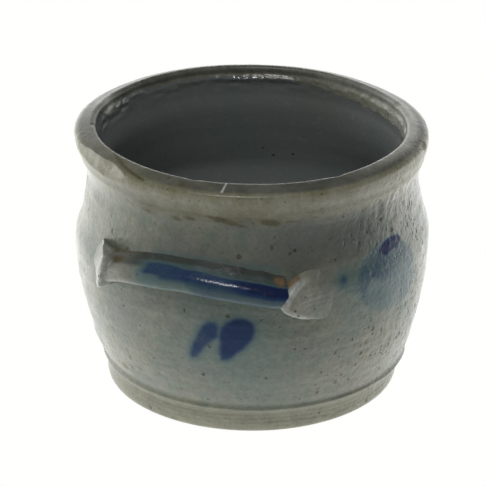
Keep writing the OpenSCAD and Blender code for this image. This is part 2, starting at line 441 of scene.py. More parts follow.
def body_relief(skin):
    """How far each point of the body is pushed out from the thrown shape."""
    points, run, azim, z = skin.points, skin.run, skin.azim, skin.z
    outer, inner = skin.outer, skin.inner

    def wave(turns):
        return np.sin(TURN * turns)

    # throwing marks: faint rings, rising in a spiral
    spiral = azim / 360.0
    wobble = fbm(points, size=45, seed=3, octaves=2)
    rings = (0.5 * wave(z / 9.5 - spiral + 0.25 * wobble)
             + 0.3 * wave(z / 5.1 - spiral + 0.4 * wobble))
    inner_rings = wave(z / 11.5 + spiral + 0.2 * wobble)
    floor_rings = wave(skin.radius / 9.0 - spiral)
    lump = fbm(points, size=38, seed=11)
    peel = 0.6 * noise(points, size=3.3, seed=31) + 0.4 * noise(points, size=2.2, seed=32)
    # the grain is strongest on the camera's right flank and its far left edge
    flank = np.clip((points @ RIGHT) / 90.0, -1, 1)
    peel_share = 0.55 + 0.75 * rise(flank, 0.15, 0.85) + 0.35 * rise(-flank, 0.55, 1.0)
    wall = window(z, 20, 26, 136, 142)
    push = outer * (0.10 * rings * wall + 0.28 * lump * rise(z, 20, 40) + 0.10 * skin.grit)
    push += outer * 0.085 * peel * peel_share * (0.35 + 0.65 * wall)

    # glaze runs, mostly on the right flank below the collar
    smooth = smooth_round_dab(skin)
    runs = (0.55 * fbm(points * (1, 1, 0.34), size=5.0, seed=71, octaves=2)
            + 0.55 * noise(points * (1, 1, 0.5), size=2.7, seed=72)
            - 0.7 * rise(noise(points * (1, 1, 0.7), size=2.6, seed=75), 0.45, 0.85))
    push += outer * 0.46 * runs * patches(RUN_PATCHES, azim, z) * smooth
    # crawled glaze low on the right, and a spot above it
    crawl = (0.6 * np.abs(noise(points, size=6.5, seed=73))
             + 0.4 * np.abs(noise(points, size=3.6, seed=74)))
    crawled = (bell(azim, 66, 22) * window(z, 22, 34, 60, 96)
               + bell(azim, 58, 9) * bell(z, 112, 9))
    push -= outer * 0.55 * (0.4 - crawl) * crawled * smooth
    # a swelling low on each flank, over the ledge
    push += outer * (1.9 * bell(azim, -69, 13) * bell(z, 30, 5.0)
                     + 1.2 * bell(azim, 111, 15) * bell(z, 29, 5.0))
    # pits burst in the glaze
    pits = noise(points, size=2.6, seed=77)
    push -= outer * 0.30 * rise(pits, 0.74, 0.92) * (0.4 + 0.6 * peel_share)

    # inner wall and floor
    push += inner * (0.035 * inner_rings * rise(z, 14, 26) + 0.20 * lump + 0.05 * peel)
    push += inner * fall(z, 11, 16) * 0.18 * floor_rings * rise(skin.radius, 6, 20)
    # the slip stands proud along its upper edge, in a wet roll at the far side
    far_side = bell(np.degrees(wrap(np.radians(azim - 204.0))), 0, 21.0, power=4)
    roll_height = 150.9 + 0.5 * fbm(points, size=16, seed=89, octaves=2)
    push += (far_side * (run > RUN[58]) * (1.05 + 0.35 * fbm(points, size=11, seed=88, octaves=2))
             * bell(z, roll_height, 1.45))
    drips = (0.40 * fbm(points * (1, 1, 0.6), size=9, seed=81, octaves=2)
             + 0.42 * noise(points * (1, 1, 1.5), size=4.4, seed=83)
             + 0.16 * noise(points, size=2.1, seed=84))
    push += bell(z, 152.0, 2.4) * (run > LIP_RUN) * drips
    below = (0.55 * noise(points * (0.6, 0.6, 1.5), size=4.2, seed=85)
             + 0.20 * noise(points, size=2.3, seed=86))
    below_share = 0.35 + 0.65 * rise(fbm(points, size=30, seed=87, octaves=2) + 0.3, 0.0, 0.6)
    push += bell(z, 147.5, 3.4) * (run > RUN[62]) * below * below_share

    push += skin.collar_face * (0.10 * skin.grit + 0.14 * lump + 0.04 * peel)
    # wavy bead at the ledge
    push += bell(z, 18.0, 1.3) * outer * (0.30 * fbm(points, size=14, seed=41, octaves=2)
                                          + 0.12 * noise(points, size=4, seed=43))
    # turning lines on the foot
    push += outer * fall(z, 15, 17) * (0.07 * np.sin(z * 2.3 + 0.8 * wobble * 6)
                                       + 0.10 * fbm(points, size=12, seed=51, octaves=2))
    return push


def hollow_underside(points, skin):
    """Wire-cut arcs and a hair of hollow under the foot."""
    arcs = 0.5 + 0.5 * np.sin(TURN * np.hypot(points[:, 0] + 62, points[:, 1] - 95) / 4.4)
    hollow = (0.25 * fall(skin.radius, 40, 74) + 0.10 * arcs * fall(skin.radius, 70, 77)
              + 0.06 * (skin.grit + 1))
    points[:, 2] += skin.base * hollow * rise(skin.radius + 6, 0, 8)


def flake(points, centre, half, line_start, line_end, shallowing, seed):
    """Cuts back what lies outside a line of the section; returns how much went."""
    side = arc(azimuth(points), centre, 97.0)
    radius = np.hypot(points[:, 0], points[:, 1])
    direction = np.subtract(line_end, line_start)
    direction /= np.linalg.norm(direction)
    outward = np.array([-direction[1], direction[0]])       # square to the line, away from axis
    if outward[0] < 0:
        outward = -outward
    outside = ((radius - line_start[0]) * outward[0]
               + (points[:, 2] - line_start[1]) * outward[1])
    cut = np.clip(outside - shallowing * np.abs(side / half) ** 2.4
                  + 0.9 * fbm(points, size=12, seed=seed), 0, None)
    cut = np.where((np.abs(side) < half * 1.4) & (points[:, 2] > 138), cut, 0)
    points[:, :2] -= (cut * outward[0] / radius.clip(1e-6))[:, None] * points[:, :2]
    points[:, 2] -= cut * outward[1]
    return cut


# ---------------------------------------------------------------- crock body: paint
# smudges round the neck: azimuth, height, half length, half height, strength
SMUDGES = (
    (11.0, 138.6, 4.2, 1.7, 1.15), (14.6, 136.4, 5.0, 1.6, 1.0), (17.5, 135.2, 3.0, 1.2, 0.9),
    (26.8, 137.6, 4.6, 1.9, 1.2), (-4.6, 135.3, 3.4, 1.4, 1.0), (-0.2, 136.9, 3.6, 1.6, 1.0),
    (-16.0, 135.6, 5.0, 1.6, 0.85), (8.0, 139.8, 3.4, 1.3, 0.8), (34.0, 137.6, 4.0, 1.2, 0.7),
    (41.0, 139.0, 4.0, 1.2, 0.6), (-24.0, 137.0, 4.0, 1.4, 0.8), (149.0, 139.0, 4.6, 1.8, 1.0),
    (-152.0, 138.0, 4.2, 1.6, 1.0))
# round stains: azimuth, height, radius, strength
ROUND_STAINS = (
    (-32.0, 28.5, 3.4, 1.0), (-27.0, 31.0, 2.6, 0.8), (61.0, 136.0, 2.2, 0.6),
    (150.0, 139.0, 4.2, 0.9), (-150.0, 138.0, 3.4, 0.8), (-96.0, 22.0, 4.0, 0.9),
    (118.0, 23.0, 3.2, 0.8), (172.0, 141.0, 3.0, 0.7))
# stains on the rim face: azimuth, radius from the axis, size
RIM_STAINS = ((-2, 95.5, 2.4), (-7.5, 92.5, 1.8))
# dark crescent at the end of the worn place on the rim: (azimuth, radius)
CRESCENT = ((-39.0, 89.2), (-35.5, 89.6), (-29.4, 92.8), (-25.0, 95.2), (-20.1, 97.0),
            (-15.1, 98.9))
# iron spots: azimuth, height, radius
OUTER_IRON = (
    (34.8, 119.7, 1.1), (4.3, 42.1, 1.1), (44.5, 41.5, 0.9), (59.8, 47.3, 1.2),
    (53.0, 36.0, 1.0), (-14.0, 46.0, 0.9), (33.0, 118.0, 0.9), (28.0, 128.0, 0.8),
    (64.0, 58.0, 1.0), (-24.0, 75.0, 0.9), (38.0, 60.0, 0.8), (9.0, 128.0, 0.7),
    (160.0, 60.0, 1.2), (140.0, 118.0, 1.0), (-100.0, 70.0, 1.1), (-150.0, 44.0, 1.0),
    (105.0, 50.0, 1.0), (-80.0, 112.0, 1.0))
INNER_IRON = ((-162.7, 104.2, 1.0), (-166.9, 99.4, 1.1), (-174.7, 101.2, 0.9),
              (-140.0, 70.0, 0.9), (20.0, 60.0, 1.0), (95.0, 90.0, 0.9))
FAR_AZIMUTH = 201.0     # the side furthest from the camera
# degrees round from the far side, positive to the camera's left; height of the slip's edge
SLIP_EDGE = ((-180, -150, -120, -90, -60, -40, -20, 0, 20, 45, 60, 90, 140, 180),
             (156.4, 154.0, 149.5, 146.5, 145.5, 147.2, 150.6, 152.0, 152.6, 153.0, 153.6,
              155.5, 156.4, 156.4))
# the same degrees; strength of the painted highlight on the inner wall under the lip
LIP_HIGHLIGHT = ((-180, -150, -138, -122, -110, -95, -73, -63, -52, -44, -34, -16, 20, 180),
            (0, 0, 0.30, 1.0, 1.35, 1.35, 1.15, 0.90, 0.56, 0.48, 0.42, 0.10, 0.0, 0.0))


def body_cobalt(skin, points, front_along, rear_along):
    """Brushwork; the rear carries the same as the front, less neatly."""
    cobalt = np.full(len(points), -0.5)
    for along, rear, seed in ((front_along, 0, 5), (rear_along, 1, 6)):
        # colour that bled under and over the bar
        bled = bell(skin.z, 112.5 - 0.0016 * along ** 2, 4.6) * window(along, -34, -14, 48, 58)
        bled = 0.40 * bled + 0.10 * noise(points, size=9, seed=seed) * bled
        if rear:
            along = along * 0.97 + 2.0
        z = skin.z + rear * (1.5 * np.sin(along / 17.0) - 1.0)
        strokes = [outline(along, z, *dab) for dab in EVEN_DABS]
        # the big dab: a dark stroke on top, washed out below
        strokes.append(outline(along, z, DAB_TOP, softness=3.0, full=1.15 - 0.1 * rear))
        strokes.append(outline(along, z, DAB, softness=9.0,
                               full=0.515 - 0.0034 * np.clip(108 - z, 0, 40)))
        strokes.append(0.66 * ellipse(along, z, centre=(87.6, 98.6), half_sizes=(4.6, 5.2)))
        # the two leaves run together
        strokes.append(0.56 * bell(along, 18.6, 3.4) * bell(z, 71.0, 7.5))
        cobalt = np.maximum.reduce([cobalt, bled, *strokes])
    return np.where(skin.run < RIM_RUN + 3, cobalt, -0.5)


def body_stain(skin, points, along):
    """Brown and olive smudges."""
    azim, z, run = skin.azim, skin.z, skin.run
    stain = np.zeros(len(points))
    for centre, height, half_long, half_high, strength in SMUDGES:
        shape = ellipse(arc(azim, centre, 93), z, (0, height), (half_long, half_high), tilt=-8)
        stain = np.maximum(stain, strength * np.clip(shape, 0, 1))
    streak = (bell(z, 136.6 + 0.8 * np.sin(azim / 9.0), 1.7) * window(azim, -40, -20, 50, 62)
              * rise(fbm(points, size=13, seed=171), 0.05, 0.5))
    stain = np.maximum(stain, 0.72 * streak)
    for centre, height, size, strength in ROUND_STAINS:
        stain += strength * blotch(arc(azim, centre, 95), z, 0, height, size)
    stain *= skin.outer
    for centre, radius, size in RIM_STAINS:
        stain += 0.9 * skin.rim * blotch(along, skin.radius, np.radians(centre) * PAINT_RADIUS,
                                         radius, size)
    line = [(np.radians(centre) * 95.0, radius) for centre, radius in CRESCENT]
    nearest = np.minimum.reduce([
        segment_distance(np.radians(azim) * 95.0, skin.radius, start, end)
        for start, end in zip(line[:-1], line[1:])])
    stain += bell(nearest, 0, 1.15) * past(run, 47, 50) * (1 - past(run, 56, 58))
    return np.clip(stain, 0, 1.3)


def iron_spots(skin, table, radius):
    return sum(blotch(arc(skin.azim, centre, radius), skin.z, 0, height, size * 1.5)
               for centre, height, size in table)


def body_paint(skin, points, wear_and_lit_edge, chipped):
    """All the paint fields of the body; points are the finished ones."""
    azim, z, run, outer, rim = skin.azim, skin.z, skin.run, skin.outer, skin.rim
    front = np.radians(azim) * PAINT_RADIUS
    rear = arc(azim, 180.0, PAINT_RADIUS)
    round_far = np.degrees(wrap(np.radians(azim - FAR_AZIMUTH)))

    # painted shade, laid in the shadow colour: on the shoulder under the collar, on the rim's right,
    # under the collar at the front left, and high on the inner wall except on the right
    dark = np.maximum(painted_shade_cast(front, z), 0.8 * painted_shade_cast(rear, z))
    dark *= 1 + 0.35 * fbm(points, size=20, seed=191, octaves=2)
    dark = np.clip(dark, 0, 1) * outer
    dark += 0.50 * bell(azim, 52, 30) * rim
    dark += 0.60 * outer * bell(azim, -26, 16) * bell(z, 141.0, 7.0)
    dark += 0.8 * skin.inner * rise(z, 110, 134) * (1 - bell(round_far, -75, 38, power=4))

    # the collar is starved and pale on its right flank
    pale = (bell(azim, 60, 24) * bell(z, 148.5, 6.0)
            + 0.60 * bell(azim, 10, 34) * bell(z, 148.0, 5.0))

    # the slip's edge is most ragged on the right
    ragged = bell(azim, 120, 60, power=4)
    slip_edge = (curve(SLIP_EDGE, round_far) - 5.0 * bell(round_far, 70, 5.5)
                 + (0.5 + 1.1 * ragged) * fbm(points, size=14, seed=91)
                 + ragged * noise(points * (1, 1, 0.6), size=3.4, seed=93))

    # painted highlight along the inner lip, with a lit patch on the left
    lip_highlight_field = curve(LIP_HIGHLIGHT, round_far) + 0.90 * bell(round_far, 70, 5.0)
    lip_highlight_field *= past(run, 51, 54) * rise(z, 136, 142) * (run < RUN[72])
    lip_highlight_field *= 0.85 + 0.4 * fbm(points, size=8, seed=95)

    # how thickly burst pits lie
    pitted = patches(PIT_PATCHES, azim, z) + 0.85 * bell(azim, 66, 11) * bell(z, 116, 13) + 0.05

    on_scratch = np.abs(wrap(np.radians(azim - 11.5))) < 0.12
    iron = np.clip(iron_spots(skin, OUTER_IRON, radius=97), 0, 1) * outer
    return {
        "cobalt": body_cobalt(skin, points, front, rear),
        "teal": np.maximum(teal_cast(front, z), teal_cast(rear, z)) * outer,
        "stain": body_stain(skin, points, front),
        "iron": iron + skin.inner * iron_spots(skin, INNER_IRON, radius=91),
        "inside": np.where(run > RUN[54], rise(z - slip_edge, 1.2, -1.2), 0.0),
        "chip_and_lit_edge": chipped,
        "scratch": rim * rise(skin.radius, 87.6, 88.6) * on_scratch,
        "base": skin.base,
        "collar": np.clip(outer * rise(z, 136, 143) + rim, 0, 1),
        "rimface": rim * (1 - 0.85 * wear_and_lit_edge) * (1 - 0.40 * bell(azim, -30, 24)),
        "bare": np.clip(pale, 0, 1) * past(run, 5, 8) * (1 - past(run, 47, 49)),
        "dark": dark,
        "pitted": pitted * smooth_round_dab(skin) * outer,
        "lip_highlight": lip_highlight_field,
        "drip": bell(z, 151.2, 3.0) * (run > RUN[59])
                * (0.25 + 0.75 * bell(round_far, -4, 30, power=4))}


def body_uv(skin):
    """Outer skin and inner wall as strips; underside and floor as discs below them."""
    quad_run = skin.run[skin.quads]
    middle = quad_run.mean(1)
    column = np.tile(np.arange(BODY_AROUND), skin.rings - 1)
    column = np.stack([column, column + 1, column + 1, column], -1) / BODY_AROUND
    quad_uv = np.zeros((len(skin.quads), 4, 2))
    fan_uv = np.zeros((len(skin.fans), 3, 2))
    # start and end along the section, bottom and top of the strip
    for start, end, bottom, top in ((FOOT_RUN, LIP_RUN, 0.665, 0.995),
                                    (LIP_RUN, FLOOR_RUN, 0.385, 0.655)):
        strip = (middle >= start) & (middle < end)
        share = np.clip((quad_run[strip] - start) / (end - start), 0, 1)
        quad_uv[strip, :, 0] = 0.003 + 0.994 * column[strip]
        quad_uv[strip, :, 1] = bottom + (top - bottom) * share

    angle = np.radians(skin.azim)
    flat = skin.radius[:, None] * np.stack([np.cos(angle), np.sin(angle)], -1)
    underside, floor = slice(None, BODY_AROUND), slice(BODY_AROUND, None)
    for zone, fan, centre_u, mirror in ((middle < FOOT_RUN, underside, 0.19, 1),
                                        (middle >= FLOOR_RUN, floor, 0.58, -1)):
        full = skin.radius[skin.quads[zone]].max()
        disc = (centre_u, 0.19) + flat * (mirror, 1) / full * 0.178
        quad_uv[zone] = disc[skin.quads[zone]]
        fan_uv[fan] = disc[skin.fans[fan]]
    return np.vstack([quad_uv.reshape(-1, 2), fan_uv.reshape(-1, 2)])


def build_body(node):
    skin = thrown_body()
    normals = vertex_normals(skin.points, skin.quads, skin.fans)
    points = skin.points + normals * body_relief(skin)[:, None]
    hollow_underside(points, skin)
    worn_cut, right_cut, left_cut = [flake(points, *values) for values in FLAKES]
    wear_and_lit_edge = np.clip(worn_cut / 0.5, 0, 1)
    chipped = np.clip(0.8 * np.clip(right_cut / 0.6, 0, 1)
                      + 0.8 * np.clip(left_cut / 0.6, 0, 1), 0, 1)
    nick = sum(depth * bell(arc(skin.azim, centre, 88), 0, half)
               for centre, half, depth in NICKS)
    points[:, 2] -= nick * bell(skin.radius, 88.3, 1.4) * rise(skin.z, 154, 157)
    points = warp(points)
    points[:, 2] = np.maximum(points[:, 2], 0.0)
    return make_mesh(node, points, skin.quads.tolist() + skin.fans.tolist(), body_uv(skin),
                     body_paint(skin, points, wear_and_lit_edge, chipped))


# ---------------------------------------------------------------- handles
# section of the bar: (out from the wall, up as a share of its height), a rounded ridge
BAR_SECTION = [
    (-2.2, 0.52), (-1.2, 0.61), (0.0, 0.575), (2.0, 0.496), (4.0, 0.417), (6.0, 0.338),
    (8.0, 0.258), (9.5, 0.185), (10.35, 0.105), (10.55, 0.01), (10.4, -0.10), (10.0, -0.20),
    (9.1, -0.295), (7.5, -0.375), (5.2, -0.435), (2.6, -0.48), (0.3, -0.515), (-1.0, -0.53),
    (-2.2, -0.46)]
BAR_LEFT, BAR_RIGHT = -29.6, 31.2       # azimuths of the front bar's ends
BAR_RINGS, BAR_AROUND = ((200, 64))
# azimuth of the front bar; height of its top, height of its bottom, how far it stands out
BAR_TOP = ((-31, -29.6, -28.0, -26.0, -24, -18, -14, -9, -3, 3, 8, 13, 17, 24, 28, 31.2),
           (105.4, 105.4, 105.6, 106.2, 107.0, 109.2, 110.4, 111.4, 112.2, 112.3, 111.8, 111.0,
            110.2, 108.0, 106.0, 104.6))
BAR_BOTTOM = ((-31, -29.6, -28.0, -26.5, -25.2, -24, -21, -17, -10, 0, 8, 17.5, 24, 27.5, 31.2),
              (87.6, 87.6, 88.2, 89.3, 90.4, 91.2, 92.6, 93.4, 94.4, 95.6, 94.6, 92.6, 90.6,
               89.4, 89.0))
BAR_OUT = ((-31, -29.6, -28.6, -27.8, -27.0, -26.2, -24.8, -15, 0, 15, 26, 28.5, 31.2),
           (9.6, 10.4, 11.3, 11.7, 11.5, 11.0, 10.3, 9.9, 10.2, 10.4, 10.3, 10.0, 9.4))
BAR_FULL_OUT = 10.6
# azimuth; share of the bar's height at the lower and upper edge of the cobalt stroke
STROKE_LOWER = ((-40, -16, -11, -5, 0, 3.0, 5.5, 8, 40),
                (0.20, 0.17, 0.13, 0.07, -0.02, -0.22, -0.55, -0.95, -1.1))
STROKE_UPPER = ((-40, -15, 0, 10, 22, 40), (0.34, 0.36, 0.335, 0.30, 0.27, 0.25))


def swing_to_rear(front):
    """Half a turn about the axis, re-seated on the rear wall, which is warped differently."""
    rear = front * (-1.0, -1.0, 1.0)
    z = np.clip(rear[:, 2], 24, 128)
    front_wall, rear_wall = (on_wall(azimuth(points), z, 0.0) for points in (front, rear))
    gap = (np.hypot(rear_wall[:, 0], rear_wall[:, 1])
           - np.hypot(front_wall[:, 0], front_wall[:, 1]))
    radius = np.hypot(rear[:, 0], rear[:, 1])
    rear[:, :2] *= ((radius + gap) / radius)[:, None]
    return rear


def bar_paint(points, azim, up, seed):
    """Paint fields of the bar; up is the share of its height above the middle."""
    waver = 0.05 * fbm(points, size=12, seed=150 + seed, octaves=2)
    # a stroke along the ridge from the left, taking in the whole front towards the right
    edge = np.minimum((curve(STROKE_UPPER, azim) + waver - up) * 5.0,
                      (up - (curve(STROKE_LOWER, azim) + waver)) * 3.6)
    edge = np.minimum(edge, (azim + 12.4) / 9.0)
    cobalt = np.clip(0.5 + edge, -0.5, 0.515)
    cobalt += 0.13 * rise(up, -0.02, 0.10)
    cobalt += 0.38 * window(up, 0.02, 0.14, 0.26, 0.34) * rise(azim, 12, 22)
    cobalt += 0.08 * bell(up, 0.2, 0.1) * rise(azim, -6, 4)
    front_wash = 0.36 * rise(azim, -21, -10) * fall(up, 0.10, 0.22) * fall(-(up + 0.50), 0, 0.08)
    top_wash = ((0.36 - 0.08 * rise(azim, 2, 12)) * rise(azim, -22, -13)
                * window(up, 0.26, 0.32, 0.40, 0.52))
    stain = (0.95 * bell(azim, -24.5, 2.6) * bell(up, 0.36, 0.10)
             + 0.60 * rise(up, 0.46, 0.56) * fall(azim, -20, -12)
             + 0.55 * window(azim, -37, -31, -29, -25) * rise(up, 0.34, 0.5)
             + 0.5 * bell(azim, -12, 3.0) * bell(up, -0.40, 0.05))
    # painted shade on the bar's up-facing top and along its underside
    painted_shade_top = (0.55 + 1.05 * rise(azim, -28, -16)) * rise(up, 0.22, 0.32)
    painted_shade_under = 0.55 * fall(up, -0.50, -0.36) * rise(azim, -24, -14)
    return {
        "cobalt": np.maximum.reduce([cobalt, front_wash, top_wash]),
        "teal": np.clip(rise(azim, -24, -12) + 0.1, 0, 1),
        "stain": np.clip(stain, 0, 1.3),
        # painted highlight: the lower front of the bar's left end is lightened
        "chip_and_lit_edge": 0.5 * fall(azim, -26, -16) * fall(up, 0.18, 0.30),
        "rust": bell(azim, 28.8, 1.7) * bell(up, 0.42, 0.12)
                + 0.7 * bell(azim, 32.5, 2.0) * rise(up, 0.34, 0.5),
        "bare": 1.25 - 1.15 * rise(azim, -24, -11),
        "dark": np.maximum(painted_shade_top, painted_shade_under),
        "matt": fall(up, -0.50, -0.24)}


def bar_uv():
    """The skin as one sheet, with the two end caps as discs beside it."""
    around = np.tile(np.arange(BAR_AROUND), BAR_RINGS - 1)
    ring = np.repeat(np.arange(BAR_RINGS - 1), BAR_AROUND)
    sheet = np.stack([np.stack([(ring + dv) / BAR_RINGS, (around + du) / BAR_AROUND], -1)
                      for dv, du in ((0, 0), (1, 0), (1, 1), (0, 1))], 1)
    sheet = 0.01 + sheet * (0.86, 0.98)
    caps = np.zeros((2, BAR_AROUND, 3, 2))
    for end, centre in enumerate(((0.94, 0.25), (0.94, 0.75))):
        caps[end] = centre
        for corner in (1, 2):
            angle = TURN * ((np.arange(BAR_AROUND) + corner - 1) % BAR_AROUND) / BAR_AROUND
            caps[end, :, corner] += 0.05 * np.stack([np.cos(angle), np.sin(angle)], -1)
    return np.vstack([sheet.reshape(-1, 2), caps.reshape(-1, 2)])


def build_bar(node, rear, seed):
    """The rolled bar. The rear one is made the other way round, then swung to the back."""
    mirror = -1 if rear else 1
    ends = (-BAR_RIGHT, -BAR_LEFT) if rear else (BAR_LEFT, BAR_RIGHT)
    placed = np.linspace(*ends, BAR_RINGS)[:, None]
    azim = placed * mirror
    top, bottom = curve(BAR_TOP, azim), curve(BAR_BOTTOM, azim)
    section_out, section_up = spline(BAR_SECTION, BAR_AROUND).T
    out = np.where(section_out > 0, section_out * curve(BAR_OUT, azim) / BAR_FULL_OUT,
                   section_out)
    # at the left end the free edge curls up like the bell of a horn
    curl = (6.6 * rise(azim, -25.4, -28.2) * np.clip(out / 11.0, 0, 1.1) ** 1.6
            * rise(section_up, -0.30, 0.15))
    rings = on_wall(placed, (top + bottom) / 2 + section_up * (top - bottom) + curl, out)
    quads, fans = tube_faces(BAR_RINGS, BAR_AROUND)
    points = np.vstack([rings.reshape(-1, 3), rings[0].mean(0), rings[-1].mean(0)])
    azim = with_ends(np.repeat(azim, BAR_AROUND), azim[0, 0], azim[-1, 0])
    out = with_ends(np.tile(section_out, BAR_RINGS))
    up = with_ends(np.tile(section_up, BAR_RINGS))

    free = rise(out, 0.0, 2.5)
    push = free * (0.34 * fbm(points, size=24, seed=100 + seed, octaves=2)
                   + 0.14 * fbm(points, size=9, seed=120 + seed, octaves=2)
                   + 0.03 * noise(points, size=2.6, seed=130 + seed))
    # the front face is drawn in along its length, and the upper joint is rough
    push -= free * 0.30 * bell(up, -0.12, 0.11) * window(azim, -24, -10, 20, 28)
    push += (window(out, -0.5, 0.6, 3.0, 6.0) * rise(up, 0.3, 0.45)
             * 0.40 * fbm(points, size=6.5, seed=140 + seed, octaves=2))
    points = points + vertex_normals(points, quads, fans) * push[:, None]
    paint = bar_paint(points, azim, up, seed)
    if rear:
        points = swing_to_rear(points)
    return make_mesh(node, points, quads.tolist() + fans.tolist(), bar_uv(), paint)


PAD_AROUND, PAD_WALL_STEPS = ((128, 14))
PAD_INNER_RINGS, PAD_OUTER_RINGS = ((24, 24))
PAD_SHARES = np.concatenate([           # each face ring's share of the way to the outline
    np.linspace(0.0, 0.74, PAD_INNER_RINGS)[1:],
    np.linspace(0.74, 0.975, PAD_OUTER_RINGS)[1:], np.linspace(0.975, 1.0, 6)[1:]])
PAD_WALL_SHARES = np.linspace(0, 1, PAD_WALL_STEPS + 1)[1:]
PAD_SEAT_RADIUS = 106.0                 # where a pad's lengths are laid round the pot
PAD_MM_PER_DEGREE = 1.85
PAD_SUNK = -2.2                         # the back lies this far inside the wall
# per side: centre (azimuth, height), outline (azimuth, height), and the face's stand-off
# from the wall as a row of azimuths and a row of mm
PADS = {
    1: SimpleNamespace(
        centre=(41.0, 93.0),
        outline=[(28.9, 91.2), (29.3, 95.5), (30.8, 99.8), (33.4, 103.8), (36.2, 106.0),
                 (40.0, 107.2), (43.6, 107.6), (46.8, 105.4), (48.9, 100.0), (49.5, 93.0),
                 (48.6, 85.4), (46.4, 80.2), (43.2, 78.6), (39.3, 80.6), (35.0, 83.4),
                 (31.4, 86.8)],
        stand_off=((28, 29.5, 32, 36, 40, 43.5, 46.5, 49, 51.5, 55),
                   (11.6, 11.3, 10.0, 7.2, 4.0, 1.55, 0.45, 0.0, -0.35, -0.6))),
    -1: SimpleNamespace(
        centre=(35.5, 98.0),
        outline=[(26.5, 96.0), (27.0, 101.0), (27.8, 105.5), (28.6, 109.2), (29.8, 110.9),
                 (32.4, 110.2), (36.0, 108.2), (40.5, 104.6), (43.4, 99.5), (43.4, 94.0),
                 (41.0, 88.6), (37.0, 85.6), (32.5, 85.2), (29.0, 86.4), (26.9, 88.6),
                 (26.3, 91.6)],
        stand_off=((25, 26.4, 27.6, 29, 30.5, 32, 34, 36, 38, 40, 42, 45),
                   (12.7, 12.3, 11.8, 10.4, 8.3, 6.2, 3.9, 2.2, 1.0, 0.3, -0.2, -0.6)))}
# iron spots on a pad: (along, up) from its centre, radius
PAD_IRON = ((-14.5, -3.0, 0.8), (-12.5, -6.6, 0.7), (-8.5, 3.2, 0.7), (-2.0, -6.0, 0.6))


def pad_height(side, along, up):
    """The face's distance out from the wall, before its edge is rounded."""
    azim = PADS[side].centre[0] + along / PAD_MM_PER_DEGREE
    height = curve(PADS[side].stand_off, azim)
    if side > 0:    # thinner towards its top edge, with a thumb print
        height = height - 1.6 * rise(up, 6.0, 15.0) * window(along, -22, -6, 4, 18)
        return height - 0.9 * bell(along, -5.0, 9.0) * bell(up, -0.2, 7.5)
    height = height + 0.9 * rise(up, 4.0, 13.0) * fall(azim, 30.0, 36.0)
    return height - 0.5 * bell(along, -6.0, 4.5) * bell(up, 0.0, 7.0)


def pad_outline(side, angle, seed):
    """Distance from the pad's centre to its edge, in each direction."""
    ring = np.array([((azim - PADS[side].centre[0]) * PAD_MM_PER_DEGREE,
                      z - PADS[side].centre[1]) for azim, z in PADS[side].outline])[::-1]
    fine = spline(np.vstack([ring[-3:], ring, ring[:3]]), 1200)
    direction = np.arctan2(fine[:, 1], fine[:, 0])
    order = np.argsort(direction)
    reach = np.interp(wrap(angle), direction[order], np.hypot(*fine[order].T))
    wobble = 0.012 * np.sin(3 * angle + seed) + 0.010 * np.sin(5 * angle + 2.1 * seed)
    return reach * (1 + wobble * (0.3 if side < 0 else 1.0))


def pad_rings(side, angle, near, seed):
    """Along, up and out for the rings of the face, then of the side wall into the pot."""
    reach = pad_outline(side, angle, seed)
    edge_along, edge_up = reach * np.cos(angle), reach * np.sin(angle)
    share = PAD_SHARES[:, None]
    along, up = edge_along * share, edge_up * share
    height = pad_height(side, along, up)
    # the edge rolls over: full and round on the thick side, feathered on the thin one
    wide = 0.10 + (0.15 * near if side > 0 else 0.03)
    roll = np.clip((share - (1 - wide)) / wide, 0, 1)
    drop = np.clip((0.36 if side > 0 else 0.14) * height, 0.0, 4.0)
    height = height - drop * (1 - np.sqrt(np.clip(1 - roll**2, 0, 1)))
    # the end away from the bar thins out into the wall
    height = height - ((0.75 if side > 0 else 0.9) * rise(share, 0.40, 1.0)
                       * rise(np.cos(angle), -0.05, 0.60))
    deep = PAD_WALL_SHARES[:, None]
    flare = 1.0 + 0.022 * np.sin(math.pi * np.minimum(deep * 1.1, 1)) + 0.02 * deep
    tuck = 0.0
    if side < 0:    # the upper edge overhangs where the horn curls up
        tuck = (5.6 * rise(edge_up, 5.0, 13.0) * fall(edge_along, -4.0, 6.0)
                * np.minimum(deep * 1.25, 1.0) ** 0.8)
    return (np.vstack([along, edge_along * flare]), np.vstack([up, edge_up * flare - tuck]),
            np.vstack([height, height[-1] + (PAD_SUNK - height[-1]) * deep]))


